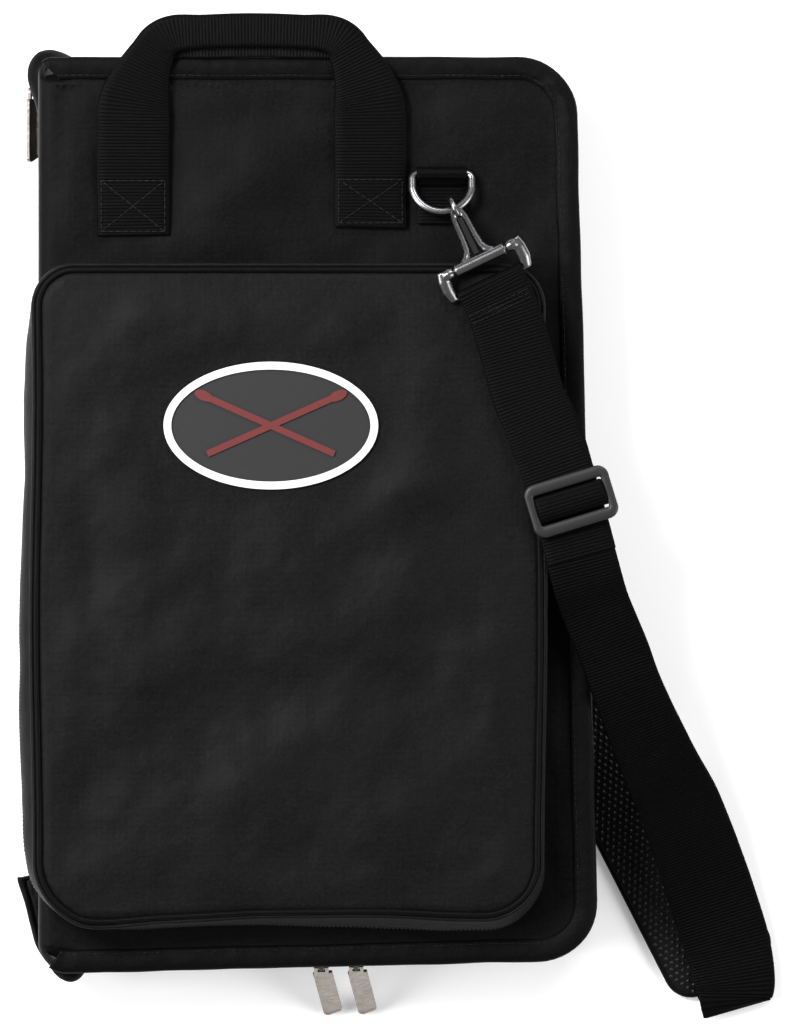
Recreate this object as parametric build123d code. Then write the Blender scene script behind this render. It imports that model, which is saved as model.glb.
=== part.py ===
from build123d import *
import math
import os

os.makedirs("parts", exist_ok=True)

# Drum stick bag lying on its back. Millimetres. +X across the front to the right,
# +Y towards the carry handle, +Z out of the front. Origin: middle of the body, on
# the plane the bag rests on.

# ---- driving dimensions -------------------------------------------------------
LEFT = -143.0              # spine side
RIGHT_TOP = 138.0          # the zip side runs out a little towards the bottom
RIGHT_LOW = 150.0
TOP = 237.0
LOW_LEFT = -240.0
LOW_RIGHT = -233.0
CORNER_R = 31.0
SPINE_R = 8.0
SPINE_SIDE = 3.5            # the binding stops this far from the spine edge
SPINE_W = 14.0             # how far the spine fabric wraps on to the top and bottom
WALL = 2.5                 # padded fabric
PANEL = 3.0
LINING = 0.8
COIL_H = 1.0
ZIP_GAP = 1.6
TAPE = 6.0
RELIEF = 15.0              # rear pocket depth: the strap lies in the space beside it
BACK_TOP = RELIEF + PANEL
BACK_WALL_TOP = BACK_TOP + 8.5
BACK_COIL_Z = BACK_WALL_TOP + TAPE
ZIP_Z = BACK_COIL_Z + COIL_H + ZIP_GAP / 2
FRONT_COIL_Z = ZIP_Z + ZIP_GAP / 2
FRONT_TAPE_Z = FRONT_COIL_Z + COIL_H
FRONT_WALL_Z = FRONT_TAPE_Z + TAPE
FRONT_PANEL_Z = FRONT_WALL_Z + 16.4
FRONT_TOP = FRONT_PANEL_Z + PANEL
BAND_W = 11.5              # binding band round the edge
BAND_T = 1.2
EDGE = 2.2
WALL_IN = 1.6

P_LEFT, P_RIGHT, P_TOP, P_LOW = -145.0, 121.0, 129.0, -213.0   # front pocket
P_TOP_R, P_LOW_R = 23.0, 31.0
P_WALL_IN = 2.0
P_WALL = 2.0
P_COIL_Z = FRONT_TOP + 11.0
P_ZIP_Z = P_COIL_Z + COIL_H + ZIP_GAP / 2
P_UPPER_COIL_Z = P_ZIP_Z + ZIP_GAP / 2
P_UPPER_Z = P_UPPER_COIL_Z + COIL_H
P_PANEL_Z = P_UPPER_Z + 9.9
P_PANEL_T = 2.6
PIPING = 3.4
P_TOP_Z = P_PANEL_Z + PIPING
FOLD_Y = -30.0             # the pocket front folds up along this line
ZIP_END_Y = 32.0           # both ends of the pocket zip
CUT = 0.4                  # gap between pieces that move apart

WEB_W = 38.0               # strap and handle webbing
WEB_T = 1.6
STRAP_Z = P_TOP_Z + 1.2 + WEB_T / 2
PLY = WEB_T + 0.2

BIG = 700.0


def outline(inset):
    """Body outline as a flat face, shrunk by inset."""
    pts = [(LEFT, TOP), (RIGHT_TOP, TOP), (RIGHT_LOW, LOW_RIGHT), (LEFT, LOW_LEFT)]
    face = make_face(Polyline(*pts, close=True))
    ends = face.vertices().sort_by(Axis.X)
    face = fillet(ends[2:], CORNER_R)
    ends = face.vertices().sort_by(Axis.X)
    face = fillet(ends[:2], SPINE_R)
    return offset(face, -inset) if inset else face


def pocket_outline(inset):
    """Front pocket outline as a flat face, shrunk by inset."""
    size = (P_RIGHT - P_LEFT, P_TOP - P_LOW)
    face = Pos((P_LEFT + P_RIGHT) / 2, (P_TOP + P_LOW) / 2) * Rectangle(*size)
    face = fillet(face.vertices().sort_by(Axis.Y)[2:], P_TOP_R)
    face = fillet(face.vertices().sort_by(Axis.Y)[:2], P_LOW_R)
    return offset(face, -inset) if inset else face


def slab(shape, z0, z1):
    return Pos(0, 0, z0) * extrude(shape, z1 - z0)


def ring(shape, outer, inner, z0, z1):
    return slab(shape(outer) - shape(inner), z0, z1)


def block(x0, x1, y0, y1, z0, z1):
    centre = ((x0 + x1) / 2, (y0 + y1) / 2, (z0 + z1) / 2)
    return Pos(*centre) * Box(x1 - x0, y1 - y0, z1 - z0)


def right_of(x):
    return block(x, BIG, -BIG, BIG, -BIG, BIG)


def left_of(x):
    return block(-BIG, x, -BIG, BIG, -BIG, BIG)


def above(y):
    return block(-BIG, BIG, y, BIG, -BIG, BIG)


def below(y):
    return block(-BIG, BIG, -BIG, y, -BIG, BIG)


def rod(a, b, r):
    """Round bar from a to b."""
    a, b = Vector(*a), Vector(*b)
    way = b - a
    return Plane(origin=a, z_dir=way) * extrude(Circle(r), way.length)


def bar(a, b, wide, thick, side):
    """Flat bar from a to b, wide along side."""
    a, b = Vector(*a), Vector(*b)
    way = b - a
    plane = Plane(origin=a, x_dir=Vector(*side), z_dir=way)
    return plane * extrude(Rectangle(wide, thick), way.length)


def band(points, wide, thick, sides):
    """Webbing through points, its width along sides, as one closed solid."""
    count = len(points)
    rows = []
    for i in range(count):
        here = Vector(*points[i])
        before = Vector(*points[max(i - 1, 0)])
        after = Vector(*points[min(i + 1, count - 1)])
        way = (after - before).normalized()
        side = Vector(*sides[i]).normalized()
        side = (side - way * side.dot(way)).normalized()
        up = side.cross(way).normalized()
        s, u = side * (wide / 2), up * (thick / 2)
        rows.append([here - s - u, here + s - u, here + s + u, here - s + u])
    faces = []
    for a, b in zip(rows, rows[1:]):
        for k in range(4):
            m = (k + 1) % 4
            faces.append(Face(Wire.make_polygon([a[k], a[m], b[m]])))
            faces.append(Face(Wire.make_polygon([a[k], b[m], b[k]])))
    for row in (rows[0], rows[-1]):
        faces.append(Face(Wire.make_polygon(row[:3])))
        faces.append(Face(Wire.make_polygon([row[0], row[2], row[3]])))
    solid = Solid(Shell(faces))
    return solid if solid.volume > 0 else -solid


def save(name, *shapes):
    solids = [s for shape in shapes for s in shape.solids()]
    whole = solids[0] if len(solids) == 1 else Compound(solids)
    whole.label = name
    export_step(whole, f"parts/{name}.step")


# ---- back half ----------------------------------------------------------------
bound = right_of(LEFT + SPINE_SIDE)
to_spine = outline(0.4) & left_of(LEFT + SPINE_SIDE - CUT) & below(TOP - EDGE) & above(LOW_LEFT + EDGE)
save("back_panel", slab(outline(EDGE), RELIEF, BACK_TOP) + slab(to_spine, RELIEF, BACK_TOP))
back_wrap = ring(outline, 0, EDGE, RELIEF, BACK_TOP)
back_band = ring(outline, 0, BAND_W, RELIEF - BAND_T, RELIEF)
REAR_LEFT, REAR_RIGHT, REAR_TOP, REAR_LOW = -141.0, 54.0, 234.0, -220.0
rear_keep = block(REAR_LEFT, REAR_RIGHT, REAR_LOW, REAR_TOP, -1, RELIEF)
save("back_binding", (back_wrap + back_band - rear_keep) & bound)

inner = WALL_IN + WALL
back_wall = ring(outline, WALL_IN, inner, BACK_TOP, BACK_WALL_TOP)
save("back_gusset", back_wall & right_of(LEFT + SPINE_W))
back_spine = ring(outline, WALL_IN, inner, BACK_TOP, BACK_COIL_Z + COIL_H)
save("back_spine", back_spine & left_of(LEFT + SPINE_W))
tape_out, tape_in = WALL_IN + 0.9, WALL_IN + 1.9
coil_out, coil_in = WALL_IN + 0.3, WALL_IN + 2.3
back_tape = ring(outline, tape_out, tape_in, BACK_WALL_TOP, BACK_COIL_Z)
save("back_zip_tape", back_tape & right_of(LEFT + SPINE_W))
back_coil = ring(outline, coil_out, coil_in, BACK_COIL_Z, BACK_COIL_Z + COIL_H)
save("back_zip_coil", back_coil & right_of(LEFT + SPINE_W))
save("back_lining", slab(outline(inner), BACK_TOP, BACK_TOP + LINING))

# Stick sleeves: one sewn cloth with five channels on the lining.
SLEEVES = 5
SLEEVE_PITCH = 49.0
SLEEVE_X0 = -126.0
SLEEVE_LOW, SLEEVE_TOP = -214.0, 84.0
SLEEVE_H = 9.5
CLOTH = 1.0
floor_z = BACK_TOP + LINING


def sleeve_profile(thick, lift):
    """Side view of the sewn channels across the bag, as a flat face in XZ."""
    outer, under = [], []
    for i in range(SLEEVES):
        x0 = SLEEVE_X0 + i * SLEEVE_PITCH
        x1 = x0 + SLEEVE_PITCH
        seam, slope = 3.0, 6.0
        top = floor_z + SLEEVE_H + lift
        low = floor_z + thick + lift
        outer += [(x0, low), (x0 + seam, low), (x0 + slope, top)]
        outer += [(x1 - slope, top), (x1 - seam, low)]
        base = floor_z + lift
        under += [(x0, base), (x0 + seam + thick, base), (x0 + slope + thick, top - thick)]
        under += [(x1 - slope - thick, top - thick), (x1 - seam - thick, base)]
    end = SLEEVE_X0 + SLEEVES * SLEEVE_PITCH
    outer.append((end, floor_z + thick + lift))
    under.append((end, floor_z + lift))
    pts = outer + under[::-1]
    return make_face(Plane.XZ * Polyline(*pts, close=True))


def sleeves(y0, y1, thick, lift):
    return Pos(0, y0, 0) * extrude(sleeve_profile(thick, lift), y1 - y0)


sleeve_end = SLEEVE_X0 + SLEEVES * SLEEVE_PITCH
foot = block(SLEEVE_X0, sleeve_end, SLEEVE_LOW - 3, SLEEVE_LOW, floor_z, floor_z + SLEEVE_H)
cloth = sleeves(SLEEVE_LOW, SLEEVE_TOP, CLOTH, 0)
channels = []
for i in range(SLEEVES):
    seam_x = SLEEVE_X0 + i * SLEEVE_PITCH
    channels.append(cloth & right_of(seam_x) & left_of(seam_x + SLEEVE_PITCH))
save("stick_sleeves", *channels, foot)
save("sleeve_mouth_binding", sleeves(SLEEVE_TOP, SLEEVE_TOP + 7, 1.6, 0))

# Rear pocket on the back: a thin padded pocket with its zip on the spine side.
REAR_T = 2.2
rear_face = Pos((REAR_LEFT + REAR_RIGHT) / 2, (REAR_TOP + REAR_LOW) / 2)
rear_face = rear_face * RectangleRounded(REAR_RIGHT - REAR_LEFT, REAR_TOP - REAR_LOW, 4)
save("rear_pocket_panel", slab(rear_face, 0, REAR_T))
rear_wall = slab(rear_face - offset(rear_face, -2), REAR_T, RELIEF)
save("rear_pocket_gusset", rear_wall)
REAR_ZIP_Z = 8.6
REAR_ZIP_LOW, REAR_ZIP_TOP = -190.0, 229.0
rear_zip = block(REAR_LEFT - 0.8, REAR_LEFT, REAR_ZIP_LOW, REAR_ZIP_TOP, 4.2, 13.0)
coils = block(REAR_LEFT - 1.8, REAR_LEFT - 0.8, REAR_ZIP_LOW + 2, REAR_ZIP_TOP - 2, 7.6, 9.6)
save("rear_zipper", rear_zip + coils)

# ---- front cover --------------------------------------------------------------
save("front_panel", slab(outline(EDGE), FRONT_PANEL_Z, FRONT_TOP) + slab(to_spine, FRONT_PANEL_Z, FRONT_TOP))
front_wrap = ring(outline, 0, EDGE, FRONT_PANEL_Z, FRONT_TOP)
front_band = ring(outline, 0, BAND_W, FRONT_TOP, FRONT_TOP + BAND_T)
front_binding = (front_wrap + front_band) & bound
save("front_binding", front_binding)
front_wall = ring(outline, WALL_IN, inner, FRONT_WALL_Z, FRONT_PANEL_Z)
save("front_gusset", front_wall & right_of(LEFT + SPINE_W))
front_spine = ring(outline, WALL_IN, inner, FRONT_COIL_Z, FRONT_PANEL_Z)
save("front_spine", front_spine & left_of(LEFT + SPINE_W))
front_tape = ring(outline, tape_out, tape_in, FRONT_TAPE_Z, FRONT_WALL_Z)
save("front_zip_tape", front_tape & right_of(LEFT + SPINE_W))
front_coil = ring(outline, coil_out, coil_in, FRONT_COIL_Z, FRONT_TAPE_Z)
save("front_zip_coil", front_coil & right_of(LEFT + SPINE_W))
save("front_lining", slab(outline(inner), FRONT_PANEL_Z - LINING, FRONT_PANEL_Z))

# ---- front pocket -------------------------------------------------------------
p_in = P_WALL_IN + P_WALL
lower = ring(pocket_outline, P_WALL_IN, p_in, FRONT_TOP, P_COIL_Z) - front_binding
upper = ring(pocket_outline, P_WALL_IN, p_in, P_UPPER_Z, P_PANEL_Z) & above(FOLD_Y)
bridge = ring(pocket_outline, P_WALL_IN, p_in, P_COIL_Z, P_UPPER_Z) & above(ZIP_END_Y)
save("pocket_gusset", lower + upper + bridge)
zip_out, zip_in = P_WALL_IN, p_in
lower_coil = ring(pocket_outline, zip_out, zip_in, P_COIL_Z, P_COIL_Z + COIL_H)
upper_coil = ring(pocket_outline, zip_out, zip_in, P_UPPER_COIL_Z, P_UPPER_Z)
fixed_coil = upper_coil & below(ZIP_END_Y - CUT) & above(FOLD_Y)
save("pocket_zip_coil", lower_coil & below(ZIP_END_Y - CUT), fixed_coil)
save("flap_zip_coil", upper_coil & below(FOLD_Y - CUT))
flap_wall = ring(pocket_outline, P_WALL_IN, p_in, P_UPPER_Z, P_PANEL_Z)
corner_y = P_LOW + P_LOW_R + 2
flap_sides = flap_wall & below(FOLD_Y - CUT) & above(corner_y)
save("flap_gusset", flap_sides, flap_wall & below(corner_y))
panel = slab(pocket_outline(PIPING), P_PANEL_Z, P_PANEL_Z + P_PANEL_T)
save("pocket_panel", panel & above(FOLD_Y))
save("flap_panel", panel & below(FOLD_Y - CUT))
piping = ring(pocket_outline, 0, PIPING, P_PANEL_Z, P_TOP_Z)
save("pocket_piping", piping & above(FOLD_Y))
save("flap_piping", piping & below(FOLD_Y - CUT))

# Rubber badge: raised rim round a flat ground, with two crossed drum sticks.
BADGE_X, BADGE_Y, BADGE_W, BADGE_H = -21.0, 45.0, 111.0, 66.0
badge_z = P_PANEL_Z + P_PANEL_T
badge = Ellipse(BADGE_W / 2, BADGE_H / 2)
badge_in = Ellipse(BADGE_W / 2 - 4, BADGE_H / 2 - 4)
at_badge = Pos(BADGE_X, BADGE_Y, 0)
save("badge_ground", at_badge * slab(badge, badge_z, badge_z + 0.8))
save("badge_rim", at_badge * slab(badge - badge_in, badge_z + 0.8, badge_z + 2.0))
stick = Rectangle(72, 3.4) + Pos(38, 0) * Ellipse(5, 2.6)
crossed = Rot(0, 0, 24) * stick + Rot(0, 0, 156) * stick
save("badge_sticks", at_badge * slab(crossed, badge_z + 0.8, badge_z + 1.8))

# ---- zip end tabs, where the spine meets the zip -------------------------------
spine_out = LEFT + WALL_IN
tab_z0, tab_z1 = BACK_TOP + 1, BACK_COIL_Z + COIL_H
zip_top = TOP - WALL_IN
save("zip_tab_top", block(-133, -119, zip_top, zip_top + 2.6, tab_z0, tab_z1))
save("zip_tab_bottom", block(spine_out - 2.6, spine_out, -226, -198, tab_z0, tab_z1))

# ---- carry handle ---------------------------------------------------------------
LEG_L, LEG_R = -93.0, 30.5
HINGE_Y = 175.0
web_z = FRONT_TOP
HANDLE_Z = FRONT_TOP + 2.0
HALF = WEB_W / 2
anchor_l = block(LEG_L - HALF, LEG_L + HALF, 143.5, HINGE_Y, web_z, web_z + 1.7)
anchor_r = block(LEG_R - HALF, LEG_R + HALF, 148, HINGE_Y, web_z, web_z + 1.7)
save("handle_anchor_left", anchor_l)
save("handle_anchor_right", anchor_r)
foot_y = HINGE_Y + 0.3
x0, x1 = LEG_L - HALF, LEG_L + HALF
x2, x3 = LEG_R - HALF, LEG_R + HALF
mid = (LEG_L + LEG_R) / 2
outer_top = Spline((x0 + 27, 257), (mid, 260.5), (x3 - 19, 256.5))
inner_top = Spline((x2 - 1, 239.5), (mid, 244), (x1 + 2, 240.5))
outer = [(x0, foot_y), (x0, 214), (x0 + 11, 240), (x0 + 27, 257)]
right = [(x3 - 19, 256.5), (x3 - 6, 238), (x3, 212), (x3, foot_y)]
hole = [(x2, foot_y), (x2, 226), (x2 - 1, 239.5)]
back = [(x1 + 2, 240.5), (x1, 226), (x1, foot_y)]
closing = Polyline((x0, foot_y), (x1, foot_y))
loop = Polyline(*outer) + outer_top + Polyline(*right) + Polyline((x3, foot_y), (x2, foot_y))
loop = loop + Polyline(*hole) + inner_top + Polyline(*back) + closing
handle = slab(make_face(loop), HANDLE_Z, HANDLE_Z + 2.4)
grip_top = [(x0 + 27, 257), (mid, 260.5), (x3 - 19, 256.5)]
grip_low = [(x3 - 19, 241), (mid, 244), (x0 + 27, 241)]
grip = Spline(*grip_top) + Polyline(grip_top[2], grip_low[0])
grip = grip + Spline(*grip_low) + Polyline(grip_low[2], grip_top[0])
handle = handle + slab(make_face(grip), HANDLE_Z, HANDLE_Z + 6.5)
save("carry_handle", handle)

# ---- D-rings --------------------------------------------------------------------
WIRE = 2.1
D_HALF = 15.4
D_SIDE = 8.0
D_DEPTH = 20.8
TAB_W = 26.0


def bend(arc):
    return sweep(Plane(origin=arc @ 0, z_dir=arc % 0) * Circle(WIRE), arc)


def half_ring(side):
    """One half of the D, swept from the middle of its bar to the middle of its bow."""
    r = 3.0
    bow_r = (D_HALF ** 2 + (D_DEPTH - D_SIDE) ** 2) / (2 * (D_DEPTH - D_SIDE))
    centre_y = bow_r - D_DEPTH
    turn = math.atan2(D_HALF, centre_y + D_SIDE) / 2
    mid = (side * bow_r * math.sin(turn), centre_y - bow_r * math.cos(turn))
    corner = (side * (D_HALF - r + r * math.sin(math.pi / 4)), -r + r * math.cos(math.pi / 4))
    ends = [(side * (D_HALF - r), 0), (side * D_HALF, -r), (side * D_HALF, -D_SIDE)]
    half = rod((0, 0, 0), (*ends[0], 0), WIRE) + rod((*ends[1], 0), (*ends[2], 0), WIRE)
    half += bend(ThreePointArc(ends[0], corner, ends[1]))
    return half + bend(ThreePointArc(ends[2], mid, (0, -D_DEPTH)))


def d_ring():
    """D-ring with its bar along X through the origin, its bow towards -Y."""
    return half_ring(1) + half_ring(-1)


def tab(strip_y, flip):
    """Webbing tab: a loop round the ring's bar at the origin and a sewn strip."""
    big, small = 3.9, WIRE + 0.3
    loop_face = Plane.YZ * (Circle(big) - Circle(small))
    eye = Pos(-TAB_W / 2, 0, 0) * extrude(loop_face, TAB_W)
    z = -flip * (WIRE + 2.1)
    z0, z1 = min(z, z + flip * 1.6), max(z, z + flip * 1.6)
    strip = block(-TAB_W / 2, TAB_W / 2, min(strip_y, 0), max(strip_y, 0), z0, z1)
    return eye + strip


D_X, D_Y = 67.6, 176.0
D_Z = FRONT_TOP + WIRE + 2.1
D_TILT = 17.0
save("d_ring_tab", Pos(D_X, D_Y, D_Z) * tab(-28, 1))
save("d_ring", Pos(D_X, D_Y, D_Z) * Rot(-D_TILT, 0, 0) * d_ring())

# ---- snap hooks ------------------------------------------------------------------
EYE_R, EYE_WIRE = 5.8, 1.6
PIN_R = 1.5
BARREL_R = 3.2
BARREL_HALF = 14.0
EAR_IN, EAR_OUT = 19.6, 24.0
BRACKET = 13.0


def along(origin, u, v):
    """Plane with x along u and y along v."""
    return Plane(origin=origin, x_dir=u, z_dir=u.cross(v))


def snap_hook(eye, pin, side):
    """Hook body from its eye round the ring to the barrel round the pin, and its tongue."""
    u = (pin - eye).normalized()
    long = (pin - eye).length
    v = side
    up = v.cross(u)
    if up.Z < 0:
        up = -up
    loop_plane = Plane(origin=eye, x_dir=u, z_dir=v)
    body = loop_plane * Torus(EYE_R, EYE_WIRE)
    for s in (-1, 1):
        a = eye + u * (EYE_R - 0.6) + v * (s * 2.2)
        b = eye + u * (long - 9) + v * (s * 4.2)
        c = eye + u * (long - 2.2) + v * (s * 6.0)
        body += bar(a, b, 2.4, 3.2, v)
        body += bar(b, c, 5.6, 3.2, v)
    tube_a = pin - v * BARREL_HALF
    tube_b = pin + v * BARREL_HALF
    barrel = rod(tube_a, tube_b, BARREL_R) - rod(tube_a - v, tube_b + v, PIN_R + 0.3)
    body = body - rod(tube_a - v, tube_b + v, BARREL_R - 0.2) + barrel
    slot = bar(eye + u * (EYE_R + EYE_WIRE + 0.2), pin - u * (BARREL_R + 0.2), 3.4, 30, v)
    tip = eye + u * (EYE_R + EYE_WIRE + 0.6)
    heel = pin - u * (BARREL_R + 0.5)
    tongue = bar(tip + up * 0.4, heel + up * 0.4, 2.6, 2.0, v)
    return body - slot, tongue


def bracket(pin, far, side):
    """Pin, two ears and the bar that holds the webbing."""
    v = side
    piece = rod(pin - v * EAR_OUT, pin + v * EAR_OUT, PIN_R)
    for s in (-1, 1):
        a = pin + v * (s * (EAR_IN + EAR_OUT) / 2)
        b = far + v * (s * (EAR_IN + EAR_OUT) / 2)
        way = (b - a).normalized()
        piece += bar(a - way * 2.6, b + way * 2.2, EAR_OUT - EAR_IN, 4.2, v)
        ear = pin + v * (s * (BARREL_HALF + 0.4))
        piece += rod(ear, a, 3.0)
    piece += rod(far - v * EAR_OUT, far + v * EAR_OUT, PIN_R)
    return piece


HOOK_DIR = Vector(0.431, -0.903, 0).normalized()
HOOK_SIDE = Vector(0.903, 0.431, 0).normalized()
bow_drop = 19.1
EYE = Vector(74.3, D_Y - bow_drop * math.cos(math.radians(D_TILT)),
             D_Z + bow_drop * math.sin(math.radians(D_TILT)))
PIN = Vector(87.0, 130.5, STRAP_Z + PLY / 2 + 2.4)
FAR = PIN + HOOK_DIR * BRACKET + Vector(0, 0, -2.4)
body, tongue = snap_hook(EYE, PIN, HOOK_SIDE)
save("snap_hook", body)
save("snap_hook_gate", tongue)
save("strap_bracket", bracket(PIN, FAR, HOOK_SIDE))

# ---- shoulder strap ---------------------------------------------------------------
ADJ = Vector(134.2, 5.7, STRAP_Z)
ADJ_DIR = Vector(0.2924, -0.9563, 0).normalized()
ADJ_SIDE = Vector(0.9563, 0.2924, 0).normalized()
FOLD = Vector(220.5, -252.7, 0)
PAD_DIR = Vector(-0.454, 0.891, 0).normalized()
PAD_SIDE = Vector(0.891, 0.454, 0).normalized()
PAD_T = 6.4
WEB_PAD_Z = 3.2


def plan_sides(points):
    """Width directions square to the line of points, level."""
    out = []
    count = len(points)
    for i in range(count):
        a, b = points[max(i - 1, 0)], points[min(i + 1, count - 1)]
        out.append(Vector(-(b[1] - a[1]), b[0] - a[0], 0).normalized())
    return out


near = ADJ - ADJ_DIR * 34
start = FAR + HOOK_DIR * 12
low_line = [(FAR.X, FAR.Y, STRAP_Z), (start.X, start.Y, STRAP_Z)]
low_line += [(105.0, 88.4, STRAP_Z), (114.4, 60.0, STRAP_Z), (near.X, near.Y, STRAP_Z)]
ADJ_END = ADJ + ADJ_DIR * 29
low_line.append((ADJ_END.X, ADJ_END.Y, STRAP_Z))
high_line = [(p[0], p[1], STRAP_Z + PLY) for p in low_line[:-1]]
tail = ADJ - ADJ_DIR * 2
high_line.append((tail.X, tail.Y, STRAP_Z + PLY))
lower_ply = band(low_line, WEB_W, WEB_T, plan_sides(low_line))
upper_ply = band(high_line, WEB_W, WEB_T, plan_sides(high_line))
turn_r = PLY / 2 + WEB_T / 2
turn_mid = Vector(FAR.X, FAR.Y, STRAP_Z + PLY / 2)
turn = rod(turn_mid - HOOK_SIDE * HALF, turn_mid + HOOK_SIDE * HALF, turn_r + 1.0)
bar_hole = rod(turn_mid - HOOK_SIDE * 30, turn_mid + HOOK_SIDE * 30, PIN_R + 0.1)
save("strap_upper", lower_ply + upper_ply + turn - bar_hole)

first = ADJ + ADJ_DIR * (29 + CUT)
second = first + ADJ_DIR * 3
drop = [(first.X, first.Y, STRAP_Z), (second.X, second.Y, STRAP_Z - 0.3)]
drop += [(149.6, -50.0, 80.0), (157.0, -73.3, 72.0), (164.6, -96.0, 65.8)]
drop += [(178.9, -131.0, 47.0), (189.3, -155.5, 34.0), (202.8, -195.0, 16.5)]
drop += [(213.2, -226.7, 9.6), (219.4, -248.5, 8.6)]
fold_end = [(222.0, -257.5, 7.6), (222.6, -259.0, 5.6), (221.8, -257.4, 3.8)]
save("strap_lower", band(drop + fold_end, WEB_W, WEB_T, [ADJ_SIDE] * 5 + [
    Vector(0.93, 0.36, 0)] * 3 + [Vector(0.963, 0.27, 0)] * 2 + [Vector(0.94, 0.34, 0)] * 3))

PAD_LOW = Vector(219.0, -246.0, 0)
PAD_LEN, PAD_W = 250.0, 59.0
web_low = PAD_LOW - PAD_DIR * 9
pad_top = PAD_LOW + PAD_DIR * PAD_LEN
R_PIN = Vector(84.0, 106.0, 7.6)
R_FAR = R_PIN + Vector(0.07, -1, 0).normalized() * BRACKET + Vector(0, 0, -2.4)
clear = PAD_LOW + PAD_DIR * (PAD_LEN + 40)
back_line = [(web_low.X, web_low.Y, WEB_PAD_Z), (clear.X, clear.Y, WEB_PAD_Z)]
back_line += [(82.0, 50.0, WEB_PAD_Z), (83.5, 75.0, WEB_PAD_Z + 0.4), (R_FAR.X, R_FAR.Y, R_FAR.Z - 2.4)]
rear_band = band(back_line, WEB_W, WEB_T, plan_sides(back_line))
R_SIDE = Vector(1, 0.07, 0).normalized()
r_turn = rod(R_FAR - R_SIDE * HALF, R_FAR + R_SIDE * HALF, 3.2)
r_hole = rod(R_FAR - R_SIDE * 30, R_FAR + R_SIDE * 30, PIN_R + 0.1)
save("strap_rear", rear_band + r_turn - r_hole)

pad_plane = Plane(origin=PAD_LOW, x_dir=PAD_SIDE, z_dir=Vector(0, 0, 1))
pad_face = Pos(0, PAD_LEN / 2) * RectangleRounded(PAD_W, PAD_LEN, 14)
if pad_plane.y_dir.dot(PAD_DIR) < 0:
    pad_face = Pos(0, -PAD_LEN / 2) * RectangleRounded(PAD_W, PAD_LEN, 14)
pad = pad_plane * extrude(pad_face, PAD_T - 0.8)
slot_a = PAD_LOW - PAD_DIR * 20 + Vector(0, 0, WEB_PAD_Z)
slot_b = pad_top + PAD_DIR * 20 + Vector(0, 0, WEB_PAD_Z)
pad -= bar(slot_a, slot_b, WEB_W + 0.8, WEB_T + 0.7, PAD_SIDE)
save("shoulder_pad", pad)
mesh = Pos(0, 0, PAD_T - 0.8) * (pad_plane * extrude(pad_face, 0.8))
save("pad_grip_mesh", mesh)

# Adjuster: flat frame with a middle bar, the webbing end looped round that bar.
ADJ_W, ADJ_L, ADJ_H = 44.0, 25.0, 2.6
adj_z = STRAP_Z + PLY + WEB_T / 2 + 0.4
adj_plane = Plane(origin=(ADJ.X, ADJ.Y, adj_z), x_dir=ADJ_SIDE, z_dir=Vector(0, 0, 1))
frame_face = RectangleRounded(ADJ_W, ADJ_L, 4) - RectangleRounded(WEB_W + 1, ADJ_L - 6.4, 1.5)
frame = adj_plane * extrude(frame_face, ADJ_H)
middle = Vector(ADJ.X, ADJ.Y, adj_z + ADJ_H / 2)
frame += rod(middle - ADJ_SIDE * (ADJ_W / 2 - 1), middle + ADJ_SIDE * (ADJ_W / 2 - 1), 1.3)
save("strap_adjuster", frame)
loop_face = rod(middle - ADJ_SIDE * HALF, middle + ADJ_SIDE * HALF, 3.0)
loop_face -= rod(middle - ADJ_SIDE * 30, middle + ADJ_SIDE * 30, 1.3)
keep = block(-BIG, BIG, -BIG, BIG, adj_z - 0.1, BIG)
save("adjuster_webbing", loop_face & keep)

# Rear ring, hook and bracket under the bag.
R_DX, R_DY = 82.0, 168.0
R_DZ = RELIEF - WIRE - 2.1
save("rear_ring_tab", Pos(R_DX, R_DY, R_DZ) * tab(24, -1))
R_TILT = math.degrees(math.asin((R_DZ - 7.5) / D_DEPTH))
save("rear_d_ring", Pos(R_DX, R_DY, R_DZ) * Rot(R_TILT, 0, 0) * d_ring())
R_EYE = Vector(R_DX, R_DY - 20.4, 7.5)
r_body, r_tongue = snap_hook(R_EYE, R_PIN, R_SIDE)
save("rear_snap_hook", r_body)
save("rear_hook_gate", r_tongue)
save("rear_strap_bracket", bracket(R_PIN, R_FAR, R_SIDE))

# ---- zip sliders and pulls ----------------------------------------------------------
SLIDER_L, SLIDER_H, PLATE = 12.0, 7.6, 1.5
LUG_OUT = 1.7              # pivot to the slider's plate
PULL_W, PULL_L, PULL_T = 10.0, 42.0, 1.8
PIVOT_R = 0.55


def slider(gap, hole, out):
    """Slider at the origin: outer plate towards -Y, inner plate towards +Y, divider
    between the two coils, and a lug for the pull."""
    outer_plate = block(-SLIDER_L / 2, SLIDER_L / 2, -PLATE, 0, -SLIDER_H / 2, SLIDER_H / 2)
    half = hole + 0.9
    lug = block(-1.2, 1.2, -PLATE - out - half, -PLATE, -half, half)
    lug -= rod((-3, -PLATE - out, 0), (3, -PLATE - out, 0), hole)
    if not gap:
        return outer_plate + lug
    inner_plate = Pos(0, gap + PLATE, 0) * outer_plate
    divider = block(2, 5, 0, gap, -0.5, 0.5)
    return outer_plate + inner_plate + divider + lug


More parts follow.
